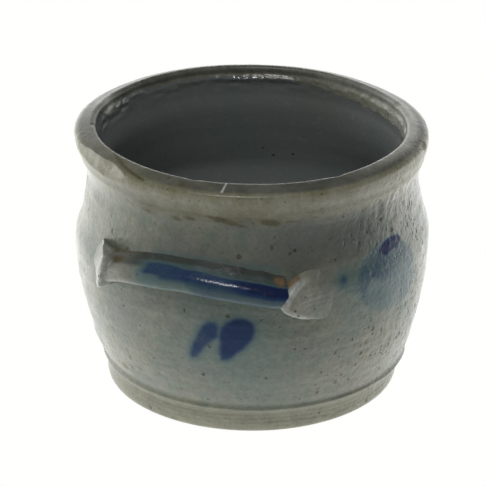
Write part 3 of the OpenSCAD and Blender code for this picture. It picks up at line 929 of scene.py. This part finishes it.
def pad_paint(side, rear, along, up, height, near):
    centre_azim, centre_z = PADS[side].centre
    wall_along = np.radians(side * (centre_azim + along / PAD_MM_PER_DEGREE)) * PAINT_RADIUS
    cast = teal_cast(wall_along, centre_z + up)
    edge = with_ends(np.repeat(np.concatenate([PAD_SHARES, np.ones(PAD_WALL_STEPS)]),
                               PAD_AROUND))
    near = with_ends(np.tile(near, len(PAD_SHARES) + PAD_WALL_STEPS))
    # painted highlight on the pad's rolled edge next to the bar, and on the left pad's lit side
    lit_edge_share = near ** 0.7 * rise(height, 3.0, 7.0)
    stretch, flip = (0.7, -1) if rear else (1, 1)
    iron = sum(blotch(along, up, spot_along * stretch, spot_up * flip, size * 1.5)
               for spot_along, spot_up, size in PAD_IRON)
    paint = {
        "iron": np.clip(iron, 0, 1),
        # painted shade, continued from the wall
        "dark": painted_shade_cast(wall_along, centre_z + up) * rise(along, -8, 6)}
    if side < 0:
        return {**paint, "cobalt": -0.3, "teal": cast * rise(along, 2, 12),
                "chip_and_lit_edge": 0.9 * rise(edge, 0.30, 0.60) * lit_edge_share, "bare": fall(along, 0, 12)}
    # the stroke on the bar stops against the pad's thick edge
    stroke = fall(height, 4.5, 9.0) * fall(along, -22.4, -20.2) * fall(up, 1.0, 5.0)
    teal = cast * rise(along, -10, 6) + 0.30 * fall(along, -21.5, -17.0)
    rust = fall(height, 4.0, 7.5) * fall(along, -12.0, -8.0) * rise(up, 5.0, 8.0)
    return {**paint, "cobalt": -0.3 + 0.62 * stroke, "teal": np.clip(teal, 0, 1),
            "chip_and_lit_edge": rise(edge, 0.74, 0.84) * lit_edge_share, "rust": 0.8 * rust,
            "bare": 1.0 - 0.95 * rise(along, -12, 2)}


def pad_uv(angle, quads, fans):
    """The face and side wall as one oval, the back as another beside it."""
    shares = np.concatenate([PAD_SHARES, 1 + 0.30 * PAD_WALL_SHARES])
    angle = with_ends(np.tile(angle, len(shares)))
    reach = with_ends(np.repeat(shares, PAD_AROUND))
    face = np.stack([0.27 + 0.185 * reach * np.cos(angle),
                     0.5 + 0.185 * reach * np.sin(angle) * 1.9], -1)
    back = np.stack([0.76 + 0.2 * np.cos(angle), 0.5 + 0.42 * np.sin(angle)], -1)
    back[-1] = (0.76, 0.5)
    return np.vstack([face[quads].reshape(-1, 2), face[fans[:PAD_AROUND]].reshape(-1, 2),
                      back[fans[PAD_AROUND:]].reshape(-1, 2)])


def build_pad(node, side, rear, seed):
    """Thumbed tongue of clay at the bar's right (+1) or left (-1) end, as seen facing it.
    Along runs in mm round the wall away from the bar, up from the pad's centre."""
    centre_azim, centre_z = PADS[side].centre
    angle = np.arange(PAD_AROUND) * TURN / PAD_AROUND
    near = np.clip(0.5 - 0.62 * np.cos(angle), 0, 1)        # 1 next to the bar
    along, up, height = pad_rings(side, angle, near, seed)
    quads, fans = tube_faces(len(along), PAD_AROUND)
    if side < 0:
        quads, fans = quads[:, ::-1], fans[:, ::-1]
    first_height = height[0, 0]

    def place(along, up, height):
        azim = side * (centre_azim + along / math.radians(PAD_SEAT_RADIUS))
        return on_wall(azim, centre_z + up, height)

    points = np.vstack([place(along, up, height).reshape(-1, 3),
                        place(0.0, 0.0, pad_height(side, 0.0, 0.0)), place(0.0, 0.0, PAD_SUNK)])
    along, up, height = with_ends(along), with_ends(up), with_ends(height, first_height, PAD_SUNK)
    free = rise(height, -0.5, 1.5)
    thick = 1 - 0.8 * rise(along, 4, 16)
    push = free * thick * (0.30 * fbm(points, size=13, seed=200 + seed, octaves=2)
                           + 0.12 * fbm(points, size=5, seed=220 + seed, octaves=2)
                           + 0.05 * noise(points, size=2.6, seed=230 + seed))
    # skin ridges of the thumb
    push += (free * 0.07 * np.sin(up * 2.1 + 0.9 * np.sin(along * 0.25))
             * bell(along, -2, 12) * bell(up, 0, 10))
    points = points + vertex_normals(points, quads, fans) * push[:, None]
    if rear:
        points = swing_to_rear(points)
    return make_mesh(node, points, quads.tolist() + fans.tolist(), pad_uv(angle, quads, fans),
                     pad_paint(side, rear, along, up, height, near))


# ---------------------------------------------------------------- materials
COLOURS = {     # linear RGB
    "grey_warm": (0.282, 0.282, 0.216), "grey_cool": (0.220, 0.246, 0.210),
    "grey_green": (0.196, 0.238, 0.190), "grey_mauve": (0.255, 0.245, 0.222),
    "teal_grey": (0.122, 0.205, 0.190), "olive": (0.255, 0.250, 0.150),
    "buff": (0.330, 0.322, 0.235), "foot": (0.270, 0.270, 0.200),
    "rim": (0.165, 0.168, 0.140), "rim_dark": (0.105, 0.110, 0.092),
    # the pale edge colour beside pad is a painted highlight for lit edges of the pads and the bar's left
    # end; shadow is painted shade
    "pad": (0.315, 0.310, 0.255), "wear_and_lit_edge": (0.540, 0.565, 0.530),
    "shadow": (0.058, 0.067, 0.061), "starved": (0.430, 0.425, 0.345),
    "halo": (0.095, 0.175, 0.180), "wash": (0.052, 0.102, 0.152),
    "stroke": (0.019, 0.050, 0.135), "deep": (0.006, 0.022, 0.090),
    "deep_violet": (0.010, 0.020, 0.080), "stain": (0.150, 0.122, 0.036),
    "stain_dark": (0.075, 0.068, 0.036), "iron": (0.045, 0.038, 0.026),
    "brown": (0.130, 0.100, 0.060), "pit": (0.070, 0.078, 0.060),
    "rust": (0.300, 0.185, 0.085), "rust_dark": (0.120, 0.090, 0.060),
    "slip": (0.215, 0.225, 0.210), "slip_blue": (0.185, 0.215, 0.215),
    "slip_pale": (0.430, 0.470, 0.455), "slip_dark": (0.105, 0.115, 0.110),
    # the first colour here is a painted highlight on the inner lip
    "lip_highlight_tint": (0.560, 0.565, 0.500), "clay": (0.270, 0.268, 0.210),
    "clay_pale": (0.330, 0.322, 0.262), "scratch": (0.620, 0.610, 0.560),
    "under": (0.300, 0.270, 0.205), "under_warm": (0.300, 0.255, 0.185),
}
# ends of the scratch across the rim: mm to the camera's right, mm away
SCRATCH_START, SCRATCH_END = np.array([-12.3, -83.0]), np.array([-18.3, -100.6])


class Nodes:
    """Short hand for building a node tree. Colours may be given by name."""

    def __init__(self, owner):
        owner.use_nodes = True
        self.tree = owner.node_tree
        self.tree.nodes.clear()

    def new(self, kind, **settings):
        node = self.tree.nodes.new(kind)
        for key, value in settings.items():
            setattr(node, key, value)
        return node

    def put(self, socket, value):
        """Links a socket, or sets a number or a named colour."""
        if isinstance(value, bpy.types.NodeSocket):
            self.tree.links.new(value, socket)
        elif isinstance(value, str):
            socket.default_value = (*COLOURS[value], 1.0)
        else:
            socket.default_value = value

    def math(self, operation, a, b=0.0):
        node = self.new("ShaderNodeMath", operation=operation)
        for socket, value in zip(node.inputs, (a, b, 0.0)):
            self.put(socket, value)
        return node.outputs[0]

    def add(self, a, b):
        return self.math("ADD", a, b)

    def subtract(self, a, b):
        return self.math("SUBTRACT", a, b)

    def multiply(self, a, b):
        return self.math("MULTIPLY", a, b)

    def invert(self, value):
        return self.subtract(1.0, value)

    def centred(self, texture, amount):
        return self.multiply(self.subtract(texture, 0.5), amount)

    def jitter(self, value, texture, amount):
        """Value moved up and down by a texture centred on 0.5."""
        return self.add(value, self.centred(texture, amount))

    def mix(self, factor, a, b):
        node = self.new("ShaderNodeMix", data_type="RGBA", clamp_factor=True)
        for k, value in ((0, factor), (6, a), (7, b)):
            self.put(node.inputs[k], value)
        return node.outputs[2]

    def layer(self, under, over, mask, amount):
        return self.mix(self.multiply(mask, amount), under, over)

    def blend(self, factor, a, b):
        """Mix of two numbers."""
        node = self.new("ShaderNodeMix", data_type="FLOAT", clamp_factor=True)
        for k, value in ((0, factor), (2, a), (3, b)):
            self.put(node.inputs[k], value)
        return node.outputs[0]

    def step(self, value, low, high):
        node = self.new("ShaderNodeMapRange", interpolation_type="SMOOTHSTEP")
        self.put(node.inputs["Value"], value)
        node.inputs["From Min"].default_value = low
        node.inputs["From Max"].default_value = high
        return node.outputs[0]

    def remap(self, value, source, target):
        node = self.new("ShaderNodeMapRange", interpolation_type="LINEAR")
        self.put(node.inputs["Value"], value)
        for key, number in zip(("From Min", "From Max", "To Min", "To Max"), source + target):
            node.inputs[key].default_value = number
        return node.outputs[0]

    def noise(self, vector, size, detail, roughness, offset):
        """Noise with features about size mm across, centred on 0.5."""
        node = self.new("ShaderNodeTexNoise", noise_dimensions="4D")
        self.put(node.inputs["Vector"], vector)
        node.inputs["W"].default_value = offset
        node.inputs["Scale"].default_value = 1000.0 / size
        node.inputs["Detail"].default_value = detail
        node.inputs["Roughness"].default_value = roughness
        return node.outputs[0]

    def cells(self, vector, size, feature="F1"):
        node = self.new("ShaderNodeTexVoronoi", feature=feature)
        self.put(node.inputs["Vector"], vector)
        node.inputs["Scale"].default_value = 1000.0 / size
        return node

    def attribute(self, name):
        node = self.new("ShaderNodeAttribute", attribute_type="GEOMETRY", attribute_name=name)
        return node.outputs["Fac"]

    def dot(self, vector, direction):
        node = self.new("ShaderNodeVectorMath", operation="DOT_PRODUCT")
        self.put(node.inputs[0], vector)
        node.inputs[1].default_value = tuple(direction)
        return node.outputs["Value"]

    def height(self, vector):
        node = self.new("ShaderNodeSeparateXYZ")
        self.put(node.inputs[0], vector)
        return node.outputs[2]

    def dots(self, vector, spacing, share, sizes, edge=None, ragged=None):
        """Scattered dots: a share of the cells holds one, of a size drawn from the range.
        Edge gives a soft rim; ragged is a texture that roughens it."""
        cells = self.cells(vector, spacing)
        lot = self.new("ShaderNodeSeparateColor")
        self.put(lot.inputs[0], cells.outputs["Color"])
        distance = cells.outputs["Distance"]
        if ragged is not None:
            distance = self.jitter(distance, ragged, amount=0.25)
        size = self.remap(lot.outputs[0], source=(0.0, 1.0), target=sizes)
        if edge is None:
            dot = self.math("LESS_THAN", distance, size)
        else:
            dot = self.invert(self.step(self.math("DIVIDE", distance, size), *edge))
        return self.multiply(self.math("LESS_THAN", lot.outputs[1], share), dot)


def shared_textures(N):
    place = N.new("ShaderNodeTexCoord").outputs["Object"]
    return SimpleNamespace(
        place=place,
        z=N.multiply(N.height(place), 1000.0),
        big=N.noise(place, size=34, detail=3, roughness=0.55, offset=1.3),
        mid=N.noise(place, size=11, detail=4, roughness=0.6, offset=4.1),
        small=N.noise(place, size=3.2, detail=3, roughness=0.6, offset=7.7),
        fine=N.noise(place, size=1.1, detail=2, roughness=0.5, offset=2.2),
        peel=N.cells(place, size=1.9, feature="SMOOTH_F1").outputs["Distance"],
        rim=N.attribute("rimface"))


def clay_colour(N, tex, is_body):
    """Cool grey glaze over clay, greener or browner in patches."""
    colour = N.mix(N.step(tex.big, low=0.34, high=0.66), "grey_warm", "grey_cool")
    colour = N.layer(colour, "grey_green", N.step(tex.mid, low=0.46, high=0.66), amount=0.75)
    mauve = N.invert(N.step(tex.mid, low=0.34, high=0.50))
    colour = N.layer(colour, "grey_mauve", mauve, amount=0.55)
    colour = N.layer(colour, "teal_grey", N.attribute("teal"), amount=0.62)
    # collar and foot go olive buff, with ragged edges
    level = N.jitter(N.jitter(tex.z, tex.mid, amount=16.0), tex.small, amount=4.0)
    olive = N.mix(N.step(tex.mid, low=0.40, high=0.66), "olive", "buff")
    colour = N.layer(colour, olive, N.step(level, low=129.0, high=138.0),
                     amount=N.blend(tex.big, 0.75, 1.0))
    foot = N.mix(N.step(tex.mid, low=0.42, high=0.64), "foot", "buff")
    colour = N.layer(colour, foot, N.invert(N.step(level, low=11.5, high=21.5)), amount=0.85)
    rim = N.mix(N.step(tex.mid, low=0.38, high=0.66), "rim_dark", "rim")
    colour = N.layer(colour, rim, tex.rim, amount=0.85)
    if is_body:
        colour = N.layer(colour, "starved", N.attribute("bare"),
                         amount=N.remap(tex.mid, source=(0.35, 0.65), target=(0.6, 1.0)))
    else:
        colour = N.layer(colour, "pad", N.attribute("bare"), amount=0.75)
        # painted highlight on the lit edges of the pads and of the bar's left end
        colour = N.layer(colour, "wear_and_lit_edge", N.attribute("chip_and_lit_edge"),
                         amount=N.remap(tex.small, source=(0.35, 0.65), target=(0.45, 0.95)))
    # fine mottling of the salt grain, darker in the pits
    grain = N.jitter(N.centred(tex.fine, amount=0.40), tex.small, amount=0.62)
    mottle = N.noise(tex.place, size=6.5, detail=3, roughness=0.6, offset=9.4)
    grain = N.jitter(grain, mottle, amount=0.34)
    pit_dark = N.multiply(N.invert(N.step(tex.peel, low=0.10, high=0.42)), -0.10)
    value = N.new("ShaderNodeHueSaturation")
    N.put(value.inputs["Value"], N.add(1.0, N.add(grain, pit_dark)))
    N.put(value.inputs["Color"], colour)
    # painted shade wherever the dark field says, in the shadow colour
    return N.layer(value.outputs[0], "shadow", N.attribute("dark"), amount=0.60)


def add_cobalt(N, tex, colour):
    """Halo, wash, stroke and deep cobalt; also returns how blue the surface is."""
    cobalt = N.jitter(N.attribute("cobalt"), tex.mid, amount=0.26)
    cobalt = N.jitter(cobalt, tex.small, amount=0.12)
    cobalt = N.jitter(cobalt, tex.fine, amount=0.05)
    colour = N.layer(colour, "halo", N.step(cobalt, low=0.12, high=0.46), amount=0.70)
    colour = N.layer(colour, "wash", N.step(cobalt, low=0.38, high=0.60), amount=0.86)
    colour = N.mix(N.step(cobalt, low=0.52, high=0.74), colour, "stroke")
    deep = N.mix(N.step(tex.mid, low=0.40, high=0.66), "deep", "deep_violet")
    colour = N.mix(N.step(cobalt, low=0.72, high=0.98), colour, deep)
    return colour, N.step(cobalt, low=0.45, high=0.75)


def add_stains(N, tex, colour):
    """Stains, rust, iron and specks; also returns the iron field and the large specks."""
    stain = N.jitter(N.attribute("stain"), tex.small, amount=0.9)
    brown = N.mix(N.step(tex.fine, low=0.40, high=0.62), "stain", "stain_dark")
    colour = N.layer(colour, brown, N.step(stain, low=0.25, high=0.75), amount=0.80)
    rust = N.jitter(N.attribute("rust"), tex.small, amount=0.8)
    red = N.mix(N.step(tex.mid, low=0.35, high=0.65), "rust", "rust_dark")
    colour = N.layer(colour, red, N.step(rust, low=0.20, high=0.80), amount=0.80)
    iron = N.jitter(N.attribute("iron"), tex.fine, amount=0.5)
    colour = N.layer(colour, "iron", N.step(iron, low=0.42, high=0.72), amount=0.88)
    specks = N.dots(tex.place, spacing=7.5, share=0.26, sizes=(0.02, 0.115), edge=(0.55, 1.25))
    colour = N.layer(colour, "iron", specks, amount=0.62)
    crisp = N.dots(tex.place, spacing=2.7, share=0.24, sizes=(0.05, 0.22))
    colour = N.layer(colour, "iron", crisp, amount=0.50)
    soft = N.dots(tex.place, spacing=4.2, share=0.30, sizes=(0.06, 0.24), edge=(0.6, 1.4))
    return N.layer(colour, "brown", soft, amount=0.34), iron, specks


def slip_colour(N, tex, iron, specks):
    """The dark glossy slip inside."""
    slip = N.mix(N.step(tex.big, low=0.36, high=0.66), "slip", "slip_blue")
    # paler towards the floor: painted light that offsets the shade deep inside
    slip = N.mix(N.remap(tex.z, source=(15.0, 145.0), target=(0.60, 0.08)), slip, "slip_pale")
    slip = N.layer(slip, "slip_pale", N.step(tex.small, low=0.56, high=0.72), amount=0.30)
    spots = N.math("MAXIMUM", N.multiply(specks, 0.5), N.step(iron, low=0.42, high=0.72))
    slip = N.layer(slip, "iron", spots, amount=0.9)
    # painted shade high on the inner wall
    return N.layer(slip, "slip_dark", N.attribute("dark"), amount=0.50)


def scratch_mask(N, tex):
    """A line across the rim, wider towards its outer end."""
    run = (SCRATCH_END - SCRATCH_START) / np.linalg.norm(SCRATCH_END - SCRATCH_START)
    side = np.array([-run[1], run[0]])

    def distance_along(direction):
        world = direction[0] * RIGHT + direction[1] * AWAY
        return N.subtract(N.multiply(N.dot(tex.place, world), 1000.0),
                          float(direction @ SCRATCH_START))

    off_line = N.jitter(distance_along(side), tex.small, amount=0.7)
    width = N.remap(distance_along(run), source=(3.0, 18.0), target=(0.40, 0.85))
    ratio = N.math("DIVIDE", N.math("ABSOLUTE", off_line), width)
    return N.multiply(N.invert(N.step(ratio, low=0.7, high=1.3)),
                      N.step(N.attribute("scratch"), low=0.4, high=0.6))


def add_body_parts(N, tex, colour, iron, specks):
    """Burst pits, slip, bare clay and underside; also returns the pit, slip and dry masks."""
    squat = N.new("ShaderNodeVectorMath", operation="MULTIPLY")
    N.put(squat.inputs[0], tex.place)
    squat.inputs[1].default_value = (1.0, 1.0, 0.72)
    pits = N.dots(squat.outputs[0], spacing=3.4, share=N.attribute("pitted"),
                  sizes=(0.14, 0.40), edge=(0.55, 1.15), ragged=tex.fine)
    colour = N.layer(colour, "pit", pits, amount=0.72)
    # painted highlight on the inner lip
    colour = N.layer(colour, "lip_highlight_tint", N.attribute("lip_highlight"),
                     amount=N.remap(tex.small, source=(0.35, 0.65), target=(0.65, 1.0)))
    inside = N.step(N.jitter(N.attribute("inside"), tex.small, amount=0.8), low=0.38, high=0.62)
    colour = N.mix(inside, colour, slip_colour(N, tex, iron, specks))
    clay = N.mix(N.step(tex.small, low=0.40, high=0.62), "clay", "clay_pale")
    chip_and_lit_edge = N.step(N.jitter(N.attribute("chip_and_lit_edge"), tex.small, amount=0.4), low=0.35, high=0.60)
    colour = N.layer(colour, clay, chip_and_lit_edge, amount=0.85)
    colour = N.layer(colour, "scratch", scratch_mask(N, tex), amount=0.92)
    under = N.mix(N.step(tex.mid, low=0.40, high=0.62), "under", "under_warm")
    under = N.layer(under, "iron", N.step(tex.small, low=0.58, high=0.75), amount=0.5)
    base = N.attribute("base")
    colour = N.mix(N.step(base, low=0.35, high=0.75), colour, under)
    dry = N.math("MAXIMUM", chip_and_lit_edge, N.step(base, low=0.35, high=0.75))
    return colour, pits, inside, dry


def relief_strength(N, tex, inside):
    """The body's grain: strongest on the camera's right, halved inside and eased on the rim."""
    across = N.dot(tex.place, RIGHT)
    strength = N.add(N.remap(across, source=(0.010, 0.080), target=(0.55, 1.25)),
                     N.remap(across, source=(-0.060, -0.092), target=(0.0, 0.35)))
    strength = N.multiply(strength, N.blend(inside, 1.0, 0.50))
    return N.multiply(strength, N.blend(N.multiply(tex.rim, 0.5), 1.0, 0.5))


def glaze_material(name, is_body=False):
    """Salt-glazed stoneware with brushed cobalt."""
    material = bpy.data.materials.new(name)
    N = Nodes(material)
    output = N.new("ShaderNodeOutputMaterial")
    surface = N.new("ShaderNodeBsdfPrincipled")
    N.put(output.inputs[0], surface.outputs[0])
    tex = shared_textures(N)
    colour = clay_colour(N, tex, is_body)
    colour, blue = add_cobalt(N, tex, colour)
    colour, iron, specks = add_stains(N, tex, colour)
    if is_body:
        colour, pits, inside, dry = add_body_parts(N, tex, colour, iron, specks)
    N.put(surface.inputs["Base Color"], colour)

    # uneven gloss: wetter over cobalt and slip, dry on bare clay
    cobalt_rough, collar_rough, upper_slip_rough, dry_rough = 0.32 if is_body else 0.20, 0.50, 0.15, 0.78
    rough = N.remap(tex.mid, source=(0.30, 0.70), target=(0.27, 0.42))
    rough = N.jitter(rough, tex.small, amount=0.16)
    rough = N.blend(N.multiply(blue, 0.7), rough, cobalt_rough)
    rough = N.blend(N.multiply(N.attribute("collar"), 0.45), rough, collar_rough)
    if is_body:
        slip_rough = N.blend(N.step(tex.z, low=142.5, high=146.5),
                             N.remap(tex.mid, source=(0.3, 0.7), target=(0.40, 0.50)),
                             upper_slip_rough)
        rough = N.blend(dry, N.blend(inside, rough, slip_rough), dry_rough)
    N.put(surface.inputs["Roughness"], rough)
    surface.inputs["IOR"].default_value = 1.5
    plain_shine, dull_shine, wet_shine = 0.5, 0.10, 1.0
    dull = N.math("MAXIMUM", N.attribute("matt"), N.multiply(blue, 0.75) if is_body else 0.0)
    N.put(surface.inputs["Specular IOR Level"],
          N.blend(N.attribute("drip"), N.blend(dull, plain_shine, dull_shine), wet_shine))

    # orange peel at about 2 mm, finer tooth over it, and shallow pits at the specks
    peel = N.multiply(N.step(tex.peel, low=0.0, high=0.75), 0.55)
    soft_peel = N.noise(tex.place, size=2.8, detail=2, roughness=0.55, offset=5.0)
    peel = N.add(peel, N.multiply(soft_peel, 0.9))
    peel = N.add(peel, N.multiply(tex.fine, 0.35))
    relief = N.multiply(peel, relief_strength(N, tex, inside) if is_body else 0.55)
    relief = N.subtract(relief, N.multiply(specks, 0.5))
    if is_body:
        relief = N.subtract(relief, N.multiply(pits, 2.2))
        ripple = N.noise(tex.place, size=4.0, detail=1, roughness=0.4, offset=6.6)
        relief = N.add(relief, N.multiply(N.attribute("drip"), N.centred(ripple, amount=5.0)))
    bump = N.new("ShaderNodeBump")
    bump.inputs["Strength"].default_value = 1.0
    bump.inputs["Distance"].default_value = 0.00020
    N.put(bump.inputs["Height"], relief)
    N.put(surface.inputs["Normal"], bump.outputs[0])
    return material


# ---------------------------------------------------------------- build the pieces
body_glaze = glaze_material("salt_glaze_body", is_body=True)
bar_glaze = glaze_material("salt_glaze_bar")
pad_glaze = glaze_material("salt_glaze_pad")

# object, the CAD node it replaces, slot, material
pieces = [(build_body("crock_body"), "crock_body", "salt_glazed_stoneware", body_glaze)]
for end_name, is_rear, end_seed in (("front", False, 1), ("rear", True, 2)):
    bar_node = end_name + "_handle_coil"
    pieces.append((build_bar(bar_node, is_rear, end_seed), bar_node, "cobalt_brushed_coil",
                   bar_glaze))
    for side_name, pad_side, first_seed in (("left", -1, 10), ("right", 1, 20)):
        pad_node = f"{end_name}_handle_{side_name}_pad"
        pieces.append((build_pad(pad_node, pad_side, is_rear, first_seed + end_seed), pad_node,
                       "thumbed_pad", pad_glaze))
for piece, cad_node, slot, glaze in pieces:
    piece.data.materials.append(glaze)
    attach(piece, "root")
    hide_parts(cad_node)

# ---------------------------------------------------------------- floor, light, camera (metres)
LIGHT_TURN = math.radians(5)
BRIGHT_SIDE = math.cos(LIGHT_TURN) * AWAY - math.sin(LIGHT_TURN) * RIGHT
FLOOR_HALF, FLOOR_Z = 4.0, -0.0004
FLOOR_FRONT, FLOOR_BACK = 0.375, 2.15       # glow in front of the pot and behind it
FLOOR_COLOUR = (1.0, 1.0, 0.985, 1.0)
SKY_DARK, SKY_BRIGHT, SKY_BELOW = 0.085, 2.75, 0.85
SEEN_STRENGTH = 1.0                         # floor and sky as the camera sees them
SOFTBOX_PLACE = -0.18 * RIGHT - 0.62 * AWAY + 1.30 * UP
SOFTBOX_TARGET = (0, 0, 0.1)
CAMERA_PLACE = -1.32416 * AWAY + 0.68694 * UP
CAMERA_PITCH, CAMERA_YAW = math.radians(24.683), math.radians(-0.251)   # down; to the right
SENSOR_WIDTH, FOCAL_LENGTH = 36.0, 186.71852    # mm


def add_floor():
    """Glows evenly to the camera, but lights the pot less from the front; clear from below."""
    mesh = bpy.data.meshes.new("studio_floor")
    corners = [(x * FLOOR_HALF, y * FLOOR_HALF, FLOOR_Z)
               for x, y in ((-1, -1), (1, -1), (1, 1), (-1, 1))]
    mesh.from_pydata(corners, [], [(0, 1, 2, 3)])
    floor = bpy.data.objects.new("studio_floor", mesh)
    bpy.context.scene.collection.objects.link(floor)
    material = bpy.data.materials.new("studio_floor")
    N = Nodes(material)
    output = N.new("ShaderNodeOutputMaterial")
    path = N.new("ShaderNodeLightPath")
    geometry = N.new("ShaderNodeNewGeometry")
    emission = N.new("ShaderNodeEmission")
    emission.inputs["Color"].default_value = FLOOR_COLOUR
    glow = N.remap(N.dot(geometry.outputs["Position"], BRIGHT_SIDE),
                   source=(-0.24, 0.12), target=(FLOOR_FRONT, FLOOR_BACK))
    N.put(emission.inputs["Strength"],
          N.blend(path.outputs["Is Camera Ray"], glow, SEEN_STRENGTH))
    clear = N.new("ShaderNodeBsdfTransparent")
    either = N.new("ShaderNodeMixShader")
    N.put(either.inputs[0], geometry.outputs["Backfacing"])
    N.put(either.inputs[1], emission.outputs[0])
    N.put(either.inputs[2], clear.outputs[0])
    N.put(output.inputs[0], either.outputs[0])
    mesh.materials.append(material)


def add_world():
    """Bright low down behind and beside the pot, dark overhead and behind the camera."""
    world = bpy.data.worlds.new("studio")
    bpy.context.scene.world = world
    N = Nodes(world)
    output = N.new("ShaderNodeOutputWorld")
    background = N.new("ShaderNodeBackground")
    N.put(output.inputs[0], background.outputs[0])
    background.inputs["Color"].default_value = (1, 1, 1, 1)
    path = N.new("ShaderNodeLightPath")
    direction = N.new("ShaderNodeTexCoord").outputs["Generated"]
    elevation = N.height(direction)
    low = N.invert(N.step(elevation, low=0.05, high=0.50))
    behind = N.step(N.dot(direction, BRIGHT_SIDE), low=-0.28, high=0.50)
    more_on_left = N.add(1.0, N.multiply(N.dot(direction, -RIGHT), 0.36))
    bright = N.multiply(N.multiply(low, behind), more_on_left)
    light = N.add(SKY_DARK, N.multiply(bright, SKY_BRIGHT))
    below = N.invert(N.step(elevation, low=-0.05, high=0.02))
    light = N.blend(below, light, SKY_BELOW)
    N.put(background.inputs["Strength"],
          N.blend(path.outputs["Is Camera Ray"], light, SEEN_STRENGTH))


def add_aimed(name, data, location, direction):
    """An object whose -Z looks along the direction."""
    obj = bpy.data.objects.new(name, data)
    obj.location = tuple(location)
    obj.rotation_mode = "QUATERNION"
    obj.rotation_quaternion = Vector(direction).to_track_quat("-Z", "Y")
    bpy.context.scene.collection.objects.link(obj)
    return obj


def add_softbox():
    """Small soft box high above the camera's left, for the wet glints."""
    light = bpy.data.lights.new("softbox_overhead", "AREA")
    light.shape = "RECTANGLE"
    light.size, light.size_y = 0.34, 0.16
    light.energy = 5.0
    add_aimed("softbox_overhead", light, SOFTBOX_PLACE,
              Vector(SOFTBOX_TARGET) - Vector(SOFTBOX_PLACE))


def add_camera():
    lens = bpy.data.cameras.new("camera")
    lens.sensor_width = SENSOR_WIDTH
    lens.sensor_fit = "HORIZONTAL"
    lens.lens = FOCAL_LENGTH
    lens.clip_start, lens.clip_end = 0.05, 50.0
    level = math.sin(CAMERA_YAW) * RIGHT + math.cos(CAMERA_YAW) * AWAY
    forward = math.cos(CAMERA_PITCH) * level - math.sin(CAMERA_PITCH) * UP
    bpy.context.scene.camera = add_aimed("camera", lens, CAMERA_PLACE, forward)


add_floor()
add_world()
add_softbox()
add_camera()

view = bpy.context.scene.view_settings
view.view_transform = "Standard"
view.look = "None"
view.exposure = 0.0
view.gamma = 1.0
